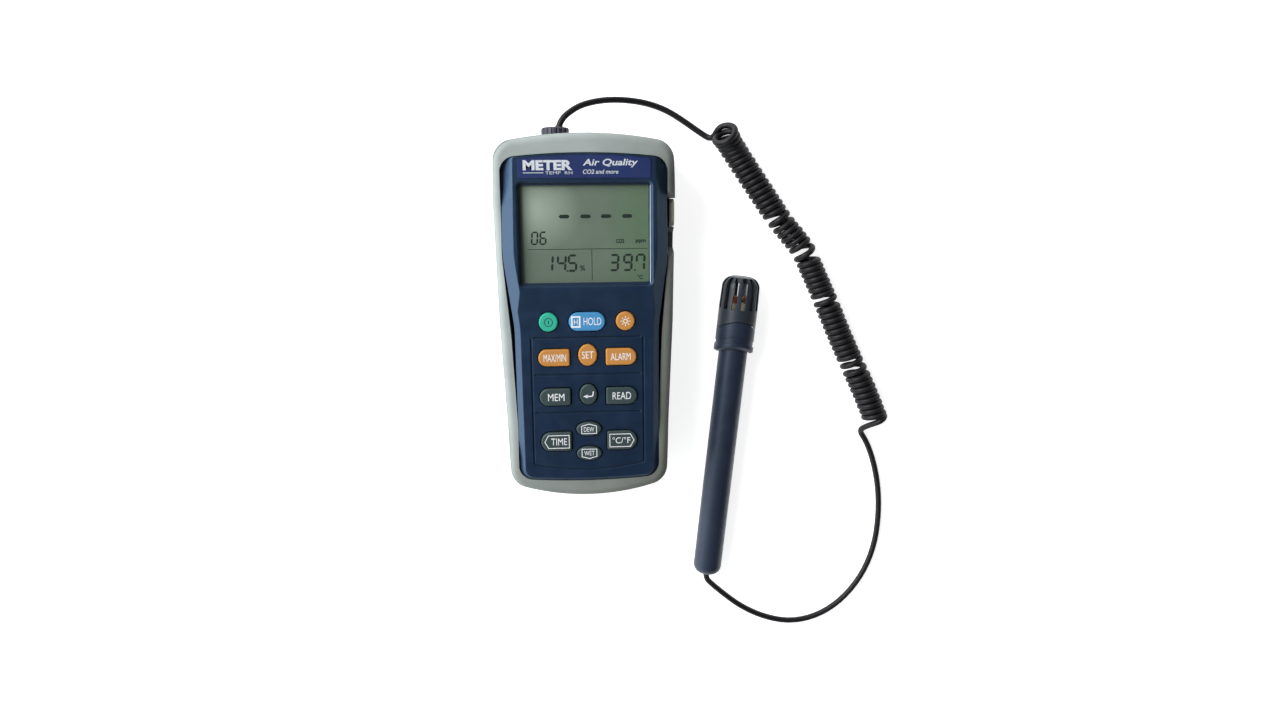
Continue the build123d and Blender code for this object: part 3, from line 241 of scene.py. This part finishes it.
def display_surface():
    """Display glass: grey-green, made greener towards the right by painted light, with a painted glare as a
    paler patch at the upper left.
    Both stand in for light on the glass, as its own colour.
    """
    material = surface("lcd_glass", (0.140, 0.185, 0.142), 0.4, mottle=0.10, mottle_scale=40)
    tree = material.node_tree
    place = tree.nodes.new("ShaderNodeTexCoord").outputs["Object"]
    across = reach(tree, "DOT_PRODUCT", place, (1.0, 0.0, 0.0))
    # painted light: the glass turns greener towards the right
    overlay(tree, spread(tree, across, 0.0, 0.85, 0.004, 0.030), PAINTED_GREEN_LIGHT)
    from_painted_glare = reach(tree, "DISTANCE", place, PAINTED_GLARE_PLACE * MM)
    # painted glare: a paler patch round a place at the upper left
    overlay(tree, spread(tree, from_painted_glare, 0.8, 0.0, 0.001, 0.019), PAINTED_GLARE)
    return material


def boot_surface():
    """Boot rubber, with colour by place that stands in for light and shade on it: darker and
    greener towards its lower right corner, darker beside the display's right edge, and darker on
    the left and upper walls, which the studio's bright side would otherwise wash out.
    """
    material = surface("boot_rubber", (0.345, 0.390, 0.382), 0.78, grain=0.03, grain_scale=3500, mottle=0.10,
                       mottle_scale=45, dust=0.10, edge=0.3, Specular_IOR_Level=0.3)
    tree = material.node_tree
    coords = tree.nodes.new("ShaderNodeTexCoord")
    for kind, source, vector, low, high, color in (
            ("DOT_PRODUCT", "Object", (1.0, -0.35, 0.0), -0.034, 0.058, (0.46, 0.44, 0.39, 1)),
            ("DISTANCE", "Object", (0.039, 0.062, 0.031), 0.017, 0.005, (0.50, 0.52, 0.50, 1)),
            ("DOT_PRODUCT", "Normal", (-1.0, 0.9, -0.2), 0.62, 0.95, (0.55, 0.56, 0.57, 1))):
        value = reach(tree, kind, coords.outputs[source], vector)
        overlay(tree, spread(tree, value, 0.0, 1.0, low, high), color, "MULTIPLY")
    return material


def case_surface():
    """Navy moulding. Its left bevel has a paler colour, palest at the upper end, which stands in
    for light that this studio doesn't throw there.
    """
    material = surface("case_plastic", NAVY, 0.36, grain=0.02, grain_scale=4200, mottle=0.14, edge=0.6,
                       Specular_Tint=BLUE_SHEEN, Specular_IOR_Level=0.95)
    tree = material.node_tree
    coords = tree.nodes.new("ShaderNodeTexCoord")
    from_corner = reach(tree, "DISTANCE", coords.outputs["Object"], BEVEL_CORNER * MM)
    pale = add_node(tree, "ShaderNodeMix", data_type="RGBA")
    pale.inputs[6].default_value = BEVEL_PALE
    pale.inputs[7].default_value = BEVEL_PALEST
    tree.links.new(spread(tree, from_corner, 0.0, 1.0, 0.014, 0.005), pale.inputs[0])
    facing_left = reach(tree, "DOT_PRODUCT", coords.outputs["Normal"], (-1.0, 0.0, 0.0))
    overlay(tree, spread(tree, facing_left, 0.0, 1.0, 0.35, 0.6), pale.outputs[2])
    return material


MATERIALS = {
    "boot": boot_surface(),
    "case": case_surface(),
    "lens": surface("lens_plastic", (0.20, 0.26, 0.22), 0.10, mottle=0.03, gloss_play=0.04, Alpha=0.04,
                    IOR=1.45),
    "label": surface("label_film", (0.018, 0.032, 0.120), 0.34, grain=0.008, mottle=0.10, edge=0.1),
    "lcd": display_surface(),
    "diffuser": surface("diffuser_sheet", (0.70, 0.72, 0.66), 0.5, mottle=0.05),
    "silicone": surface("mat_silicone", (0.02, 0.02, 0.022), 0.6, grain=0.02, mottle=0.1),
    "white_plastic": surface("white_plastic", (0.46, 0.40, 0.31), 0.5, grain=0.01, mottle=0.06),
    "board": surface("board_mask", (0.02, 0.11, 0.045), 0.35, mottle=0.2, mottle_scale=300),
    "chip": surface("chip_moulding", (0.012, 0.012, 0.014), 0.45, grain=0.01, mottle=0.1),
    "screw": surface("screw_steel", (0.45, 0.45, 0.46), 0.32, grain=0.01, mottle=0.12, Metallic=1.0),
    "sensor_can": surface("sensor_can", (0.62, 0.62, 0.60), 0.35, grain=0.01, mottle=0.08, Metallic=1.0),
    "flap": surface("flap_rubber", (0.45, 0.45, 0.38), 0.75, grain=0.03, mottle=0.1, dust=0.1),
    "cell": surface("cell_wrap", (0.02, 0.02, 0.024), 0.3, mottle=0.1),
    "contact": surface("contact_nickel", (0.62, 0.60, 0.56), 0.25, mottle=0.1, Metallic=1.0),
    "plug": surface("plug_moulding", (0.030, 0.032, 0.050), 0.45, grain=0.02, mottle=0.15, edge=0.15),
    "cord": surface("cord_jacket", (0.006, 0.006, 0.008), 0.52, grain=0.015, grain_scale=5000, mottle=0.2,
                    mottle_scale=150, Specular_IOR_Level=0.35),
    "probe": surface("probe_plastic", (0.020, 0.029, 0.054), 0.40, grain=0.015, grain_scale=4200,
                     mottle=0.12, edge=0.3, Specular_Tint=(0.75, 0.88, 1.0, 1.0)),
    "cap": surface("cap_plastic", (0.024, 0.033, 0.046), 0.38, grain=0.015, grain_scale=4200, mottle=0.12,
                   edge=0.25),
    "sensor_film": surface("sensor_film", (0.20, 0.055, 0.020), 0.35, mottle=0.2, mottle_scale=500),
    "green_key": surface("key_green", (0.032, 0.43, 0.30), 0.6, grain=0.01, mottle=0.06, edge=0.2,
                         Specular_IOR_Level=0.3),
    "blue_key": surface("key_blue", (0.062, 0.27, 0.54), 0.6, grain=0.01, mottle=0.06, edge=0.2,
                        Specular_IOR_Level=0.3),
    "orange_key": surface("key_orange", (0.54, 0.24, 0.055), 0.6, grain=0.01, mottle=0.06, edge=0.2,
                          Specular_IOR_Level=0.3),
    "grey_key": surface("key_grey", (0.034, 0.058, 0.062), 0.5, grain=0.01, mottle=0.08, edge=0.2),
}
LABEL_INK = surface("label_ink", (0.60, 0.64, 0.69), 0.5, mottle=0.10, mottle_scale=900)
WHITE_INK = surface("white_ink", (0.84, 0.86, 0.88), 0.5, mottle=0.06, mottle_scale=900)
DARK_INK = surface("dark_ink", (0.012, 0.05, 0.04), 0.5, mottle=0.1, mottle_scale=900)
LCD_INK = surface("lcd_segment", (0.008, 0.016, 0.012), 0.6, mottle=0.15, mottle_scale=700,
                  Specular_IOR_Level=0.1)
# painted highlight: white for the light on the window's polished right edge
PAINTED_EDGE_GLINT = surface("painted_edge_glint", (0.80, 0.84, 0.86), 0.4, mottle=0.05, mottle_scale=400)


def dress_cad_nodes():
    """Gives every CAD node its material, and smooth shading with crisp edges."""
    for part in frame["record"]["subparts"]:
        mesh = nodes[part["node"]].data
        mesh.materials.clear()
        mesh.materials.append(MATERIALS[part["material_slot"]])
        if "custom_normal" in mesh.attributes:
            mesh.attributes.remove(mesh.attributes["custom_normal"])
        mesh.shade_smooth()
        mesh.set_sharp_from_angle(angle=CREASE)


# ---------------------------------------------------------------- mesh helpers
def finish_piece(bm, name, material, body):
    """Turns a bmesh into an object that rides on a body."""
    bmesh.ops.recalc_face_normals(bm, faces=bm.faces)
    mesh = bpy.data.meshes.new(name)
    bm.to_mesh(mesh)
    bm.free()
    mesh.materials.append(material)
    piece = bpy.data.objects.new(name, mesh)
    bpy.context.scene.collection.objects.link(piece)
    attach(piece, body)


def prism(bm, outline, low, high):
    """Upright prism over a flat outline; outline in millimetres."""
    bottom = [bm.verts.new((x * MM, y * MM, low * MM)) for x, y in outline]
    top = [bm.verts.new((x * MM, y * MM, high * MM)) for x, y in outline]
    bm.faces.new(top)
    bm.faces.new(bottom[::-1])
    for index in range(len(outline)):
        after = (index + 1) % len(outline)
        bm.faces.new((bottom[index], bottom[after], top[after], top[index]))


def plate(bm, left, under, right, over, low, high):
    """Upright block over a rectangle; all in millimetres."""
    prism(bm, [(left, under), (right, under), (right, over), (left, over)], low, high)


def stroke(bm, points, width, low, high, closed=True):
    """Line of even width with mitred corners, raised between two heights."""
    count = len(points)
    places = [Vector(p) for p in points]
    sides = []
    for index, here in enumerate(places):
        before = places[index - 1] if closed or index else here
        after = places[(index + 1) % count] if closed or index < count - 1 else here
        run_in = (here - before).normalized() if here != before else (after - here).normalized()
        run_out = (after - here).normalized() if after != here else run_in
        across = Vector((-(run_in.y + run_out.y), run_in.x + run_out.x)).normalized()
        reach = width / 2 / max(0.35, across.dot(Vector((-run_in.y, run_in.x))))
        sides.append((here + across * reach, here - across * reach))
    for index in range(count if closed else count - 1):
        a, b = sides[index], sides[(index + 1) % count]
        prism(bm, [a[0], b[0], b[1], a[1]], low, high)


def circle(x, y, radius, count=40):
    """Points round a circle."""
    return [
        (x + radius * math.cos(2 * math.pi * i / count), y + radius * math.sin(2 * math.pi * i / count))
        for i in range(count)
    ]


def lettering(bm, text, left, low, right, high, bottom, top, bold=0.0, slant=0.0):
    """Raised text that fills a box exactly; the box in millimetres."""
    curve = bpy.data.curves.new("lettering", "FONT")
    curve.body = text
    curve.offset = bold
    curve.shear = slant
    curve.extrude = (top - bottom) / 2 * MM
    curve.resolution_u = 6
    holder = bpy.data.objects.new("lettering", curve)
    bpy.context.scene.collection.objects.link(holder)
    mesh = bpy.data.meshes.new_from_object(holder)
    xs = [v.co.x for v in mesh.vertices]
    ys = [v.co.y for v in mesh.vertices]
    wide = (right - left) * MM / (max(xs) - min(xs))
    tall = (high - low) * MM / (max(ys) - min(ys))
    for vertex in mesh.vertices:
        vertex.co.x = left * MM + (vertex.co.x - min(xs)) * wide
        vertex.co.y = low * MM + (vertex.co.y - min(ys)) * tall
        vertex.co.z += (top + bottom) / 2 * MM
    bm.from_mesh(mesh)
    bpy.data.meshes.remove(mesh)
    bpy.data.objects.remove(holder)
    bpy.data.curves.remove(curve)


# ---------------------------------------------------------------- cord
def nurbs_curve(name, points):
    """Open smooth spline with these control points, in metres."""
    curve = bpy.data.curves.new(name, "CURVE")
    curve.dimensions = "3D"
    spline = curve.splines.new("NURBS")
    spline.points.add(len(points) - 1)
    for control, point in zip(spline.points, points):
        control.co = (*point, 1)
    spline.order_u = 3
    spline.use_endpoint_u = True
    piece = bpy.data.objects.new(name, curve)
    bpy.context.scene.collection.objects.link(piece)
    return piece


def smooth_line(route):
    """Points along the smooth line of a route, and how far along it each one is."""
    guide = nurbs_curve("guide", [Vector(p) * MM for p in route])
    guide.data.splines[0].resolution_u = 24
    mesh = bpy.data.meshes.new_from_object(guide)
    line = [v.co.copy() for v in mesh.vertices]
    bpy.data.meshes.remove(mesh)
    bpy.data.curves.remove(guide.data)
    along = [0.0]
    for before, here in zip(line, line[1:]):
        along.append(along[-1] + (here - before).length)
    return line, along


def at_distance(line, along, distance):
    """Place and direction on a line at a distance from its start."""
    index = 1
    while index < len(along) - 1 and along[index] < distance:
        index += 1
    share = (distance - along[index - 1]) / (along[index] - along[index - 1])
    # the direction is taken over a few points, so that it turns evenly
    ahead = line[min(index + 3, len(line) - 1)] - line[max(index - 4, 0)]
    return line[index - 1].lerp(line[index], share), ahead.normalized()


def curls():
    """Control points of the curly stretch, one turn after another along its axis."""
    line, along = smooth_line(CURL_ROUTE)
    total = sum(count * pitch for count, pitch, _, _ in TURNS)
    # one entry for each turn: pitch, radius and lean
    each = [(pitch, radius, lean) for count, pitch, radius, lean in TURNS for _ in range(count)]
    squeeze = along[-1] / total
    points = []
    done = 0.0
    for turn, (pitch, radius, lean) in enumerate(each):
        next_radius, next_lean = each[min(turn + 1, len(each) - 1)][1:]
        for step in range(TURN_STEPS):
            share = step / TURN_STEPS
            place, ahead = at_distance(line, along, done + share * pitch * squeeze)
            up = (Vector((0, 0, 1)) - ahead * ahead.z).normalized()
            side = ahead.cross(up)
            angle = 2 * math.pi * share
            # the spline cuts inside its control points, so they stand further out
            wide = (radius + (next_radius - radius) * share) / math.cos(math.pi / TURN_STEPS)
            wide *= MM * (1 + TURN_PLAY * math.sin(turn * 2.4))
            tilt = lean + (next_lean - lean) * share
            away = side * -math.sin(angle) - up * math.cos(angle)
            lag = tilt * wide * math.sin(angle)
            points.append(place + away * wide + ahead * lag)
        done += pitch * squeeze
    # part of one more turn runs on to the side that the tail leaves from
    place, ahead = at_distance(line, along, along[-1])
    side = ahead.cross(Vector((0, 0, 1)))
    for step in range(LAST_STEPS):
        angle = 2 * math.pi * step / TURN_STEPS
        away = side * -math.sin(angle) - Vector((0, 0, math.cos(angle)))
        points.append(place + away * each[-1][1] * MM + ahead * LAST_PITCH * MM * step / TURN_STEPS)
    return points


def build_cord():
    """The whole cord as one curve, in place of the CAD's three tubes."""
    points = [Vector(p) * MM for p in LEAD_ROUTE] + curls() + [Vector(p) * MM for p in TAIL_ROUTE]
    cord = nurbs_curve("cord", points)
    cord.data.splines[0].resolution_u = 4
    cord.data.bevel_depth = CORD_D / 2 * MM
    cord.data.bevel_resolution = 5
    cord.data.use_fill_caps = True
    cord.data.materials.append(MATERIALS["cord"])
    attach(cord, "root")
    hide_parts("cord_lead", "cord_curl", "cord_tail")


# ---------------------------------------------------------------- display
SEGMENTS = {
    "0": "abcdef", "1": "bc", "3": "abcdg", "4": "bcfg", "5": "acdfg", "6": "acdefg", "7": "abcf",
    "9": "abcdfg",
}
DIGIT_LEAN = 0.07
DASHES = (-8.99, 0.19, 9.11, 18.19)                  # middles of the four dashes
SMALL_DIGITS = ((-23.2, "0"), (-19.6, "6"))
DIGITS = ((-18.0, "1"), (-12.4, "4"), (-7.7, "5"), (10.5, "3"), (16.4, "9"), (21.9, "7"))
POINTS = (-8.4, 21.0)                                # decimal points


def digit(bm, char, x, y, width, height, bar, low, high):
    """Seven-segment digit with its lower left corner at x, y."""
    gap = bar * 0.14
    middle = y + height / 2
    ends = {
        "a": ((x, y + height), (x + width, y + height)),
        "g": ((x, middle), (x + width, middle)),
        "d": ((x, y), (x + width, y)),
        "f": ((x, middle), (x, y + height)),
        "b": ((x + width, middle), (x + width, y + height)),
        "e": ((x, y), (x, middle)),
        "c": ((x + width, y), (x + width, middle)),
    }
    for letter in SEGMENTS[char]:
        start, end = (Vector(p) for p in ends[letter])
        along = (end - start).normalized()
        across = Vector((-along.y, along.x)) * bar / 2
        start += along * gap
        end -= along * gap
        tip = along * bar / 2
        outline = [start, start + tip + across, end - tip + across, end, end - tip - across,
                   start + tip - across]
        lean = [(p.x + DIGIT_LEAN * (p.y - y), p.y) for p in outline]
        prism(bm, lean[::-1], low, high)


def build_display():
    """Dark marks of the display on top of its glass."""
    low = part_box("lcd_glass")[1].z / MM
    high = low + PRINT
    bm = bmesh.new()
    for x in DASHES:
        prism(bm, [(x - 2.4, 45.75), (x - 1.6, 45.0), (x + 1.6, 45.0), (x + 2.4, 45.75),
                   (x + 1.6, 46.6), (x - 1.6, 46.6)], low, high)
    for x, char in SMALL_DIGITS:
        digit(bm, char, x, 34.1, 2.35, 5.1, 0.72, low, high)
    for x, char in DIGITS:
        digit(bm, char, x, 22.5, 3.3, 6.6, 0.95, low, high)
    for x in POINTS:
        plate(bm, x, 22.1, x + 0.7, 22.8, low, high)
    plate(bm, -24.8, 31.7, 27.0, 31.95, low, high)
    plate(bm, 2.55, 18.3, 2.8, 31.5, low, high)
    lettering(bm, "CO2", 13.2, 34.2, 16.8, 36.0, low, high, bold=0.03)
    lettering(bm, "ppm", 21.8, 33.9, 26.2, 35.7, low, high, bold=0.03)
    lettering(bm, "%", -2.6, 22.5, -0.4, 24.8, low, high, bold=0.02)
    lettering(bm, "°C", 22.4, 18.5, 24.8, 20.3, low, high, bold=0.02)
    finish_piece(bm, "display_marks", LCD_INK, "root")


def build_lens_edge():
    """Thin white strip that stands in for the light on the window's polished right edge."""
    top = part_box("window_lens")[1]
    bm = bmesh.new()
    edge_x = top.x / MM - 0.55
    prism(bm, [(edge_x, 17.4), (edge_x + 0.3, 17.0), (edge_x + 0.42, 59.0), (edge_x + 0.2, 58.6)],
          top.z / MM, top.z / MM + PRINT)
    # the strip is a painted highlight, not a white part of the window
    finish_piece(bm, "lens_edge", PAINTED_EDGE_GLINT, "root")


def build_label():
    """Plain generic wording in place of the maker's and the model's names."""
    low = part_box("name_label")[1].z / MM
    high = low + PRINT
    bm = bmesh.new()
    lettering(bm, "METER", -25.8, 65.2, -5.0, 69.4, low, high, bold=0.045)
    plate(bm, -25.8, 64.0, -17.2, 64.3, low, high)
    lettering(bm, "TEMP  RH", -16.4, 63.5, -5.0, 64.7, low, high)
    lettering(bm, "Air Quality", -0.6, 66.2, 22.8, 69.8, low, high, bold=0.02, slant=0.2)
    lettering(bm, "CO2 and more", -0.6, 63.6, 14.4, 65.4, low, high, bold=0.01, slant=0.2)
    finish_piece(bm, "label_marks", LABEL_INK, "root")


# ---------------------------------------------------------------- key legends
def power_sign(bm, x, y, low, high):
    """Ring with a short bar inside."""
    stroke(bm, circle(x, y, 1.75), 0.35, low, high)
    plate(bm, x - 0.2, y - 0.8, x + 0.2, y + 0.8, low, high)


def hold_sign(bm, x, y, low, high):
    """Letter in a square frame, and the word beside it."""
    left, right, under, over = x - 6.6, x - 3.2, y - 2.2, y + 2.2
    stroke(bm, [(left, under), (right, under), (right, over), (left, over)], 0.7, low, high)
    lettering(bm, "H", x - 5.7, y - 1.15, x - 4.1, y + 1.15, low, high)
    lettering(bm, "HOLD", x - 1.5, y - 1.5, x + 6.2, y + 1.8, low, high)


def light_sign(bm, x, y, low, high):
    """Small sun: a ring with eight rays."""
    stroke(bm, circle(x, y, 0.85, 24), 0.35, low, high)
    for index in range(8):
        angle = math.pi * index / 4
        way = Vector((math.cos(angle), math.sin(angle)))
        stroke(bm, [Vector((x, y)) + way * 1.3, Vector((x, y)) + way * 2.2], 0.3, low, high, closed=False)


def enter_sign(bm, x, y, low, high):
    """Arrow that comes down and turns left."""
    stroke(bm, [(x + 2.1, y + 1.4), (x + 1.9, y - 0.3), (x + 1.3, y - 0.8), (x - 0.6, y - 0.8)], 0.5, low,
           high, closed=False)
    prism(bm, [(x - 2.4, y - 0.8), (x - 0.4, y - 1.6), (x - 0.4, y)], low, high)


def words(text, left, under, right, over):
    """A legend of plain words in a box about the key's centre."""
    def draw(bm, x, y, low, high):
        lettering(bm, text, x + left, y + under, x + right, y + over, low, high)
    return draw


def boxed(text, outline, left, under, right, over):
    """Words inside an outline, both about the key's centre."""
    def draw(bm, x, y, low, high):
        stroke(bm, [(x + px, y + py) for px, py in outline], LEGEND_LINE, low, high)
        lettering(bm, text, x + left, y + under, x + right, y + over, low, high)
    return draw


ARROW_LEFT = [(-5.2, 0.0), (-3.6, -2.9), (5.6, -2.9), (5.6, 2.9), (-3.6, 2.9)]
ARROW_RIGHT = [(-x, y) for x, y in ARROW_LEFT[::-1]]
HOUSE = [(-3.3, -2.0), (3.3, -2.0), (3.3, 1.4), (0.0, 2.3), (-3.3, 1.4)]
HOUSE_DOWN = [(x, -y) for x, y in HOUSE[::-1]]
LEGENDS = {
    "key_power": power_sign,
    "key_hold": hold_sign,
    "key_light": light_sign,
    "key_max_min": words("MAX/MIN", -4.6, -1.6, 5.2, 1.7),
    "key_set": words("SET", -2.6, -1.5, 2.5, 1.7),
    "key_alarm": words("ALARM", -4.7, -1.5, 4.1, 1.7),
    "key_mem": words("MEM", -3.2, -1.6, 4.0, 1.6),
    "key_enter": enter_sign,
    "key_read": words("READ", -4.1, -1.5, 4.1, 1.7),
    "key_time": boxed("TIME", ARROW_LEFT, -2.4, -1.5, 4.6, 1.6),
    "key_dew": boxed("DEW", HOUSE, -2.3, -1.2, 2.3, 0.9),
    "key_wet": boxed("WET", HOUSE_DOWN, -2.3, -0.9, 2.3, 1.2),
    "key_units": boxed("°C/°F", ARROW_RIGHT, -4.4, -1.4, 3.6, 1.5),
}


def build_legends():
    """Printed sign or words on top of every key, riding on it."""
    for key, draw in LEGENDS.items():
        low_corner, high_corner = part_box(key)
        centre = (low_corner + high_corner) / 2 / MM
        top = high_corner.z / MM
        bm = bmesh.new()
        draw(bm, centre.x, centre.y, top - PRINT / 2, top + PRINT / 2)
        ink = DARK_INK if key == "key_power" else WHITE_INK
        finish_piece(bm, key.replace("key_", "legend_"), ink, key)


# ---------------------------------------------------------------- camera, floor and light
CAMERA_PLACE = Vector((-5.70, 51.01, 426.73))
CAMERA_AHEAD = Vector((0.0723, -0.1712, -0.9826)).normalized()
CAMERA_UP = Vector((0.0212, 0.9852, -0.1701))
SENSOR_WIDTH = 36.0
FOCAL_LENGTH = 25.3125
PAPER_SIZE = 6.0
PAPER_DROP = 0.0002        # the paper lies just under the meter's back
PAPER_GLOW = 0.78
LAMP_PLACE = Vector((-0.72, 0.45, 0.75))
LAMP_WATTS = 13.0


def build_camera():
    """Camera fitted to the meter's outline, window and keypad, at an assumed focal length."""
    camera_data = bpy.data.cameras.new("camera")
    camera_data.sensor_width = SENSOR_WIDTH
    camera_data.lens = FOCAL_LENGTH
    camera_data.clip_start = 0.01
    camera = bpy.data.objects.new("camera", camera_data)
    bpy.context.scene.collection.objects.link(camera)
    right = CAMERA_AHEAD.cross(CAMERA_UP).normalized()
    camera.matrix_world = Matrix((right, right.cross(CAMERA_AHEAD), -CAMERA_AHEAD)).transposed().to_4x4()
    camera.location = CAMERA_PLACE * MM
    bpy.context.scene.camera = camera


def build_floor():
    """Lit white paper, bright enough that shadows on it stay faint."""
    bpy.ops.mesh.primitive_plane_add(size=PAPER_SIZE, location=(0.05, 0.0, -PAPER_DROP))
    floor = bpy.context.object
    floor.name = "floor"
    paper = surface("floor_paper", (0.93, 0.93, 0.93), 0.9, mottle=0.004, gloss_play=0.02,
                    Emission_Color=(1, 1, 1, 1), Emission_Strength=PAPER_GLOW)
    floor.data.materials.append(paper)


def build_studio():
    """Surroundings that are bright round the horizon, dim overhead and dimmer on the right."""
    world = bpy.data.worlds.new("studio")
    bpy.context.scene.world = world
    world.use_nodes = True
    tree = world.node_tree
    coords = tree.nodes.new("ShaderNodeTexCoord")
    split = tree.nodes.new("ShaderNodeSeparateXYZ")
    tree.links.new(coords.outputs["Generated"], split.inputs["Vector"])
    height = spread(tree, split.outputs["Z"], 1.0, 0.10, 0.25, 0.9)
    side = spread(tree, split.outputs["X"], 2.05, 0.15, -0.8, 0.45)
    level = add_node(tree, "ShaderNodeMath", operation="MULTIPLY")
    tree.links.new(height, level.inputs[0])
    tree.links.new(side, level.inputs[1])
    tree.links.new(level.outputs[0], tree.nodes["Background"].inputs["Strength"])
    tree.nodes["Background"].inputs["Color"].default_value = (0.97, 0.985, 1.0, 1)


def build_lamp():
    """One soft round lamp, high up on the left."""
    light = bpy.data.lights.new("key_light", "AREA")
    light.shape = "DISK"
    light.size = 0.8
    light.energy = LAMP_WATTS
    lamp = bpy.data.objects.new("key_light", light)
    bpy.context.scene.collection.objects.link(lamp)
    lamp.location = LAMP_PLACE
    lamp.rotation_euler = (Vector((0.03, 0, 0)) - LAMP_PLACE).to_track_quat("-Z", "Y").to_euler()


build_camera()
build_floor()
build_studio()
build_lamp()
bpy.context.scene.view_settings.view_transform = "Standard"
build_cord()
dress_cad_nodes()
build_display()
build_lens_edge()
build_label()
build_legends()
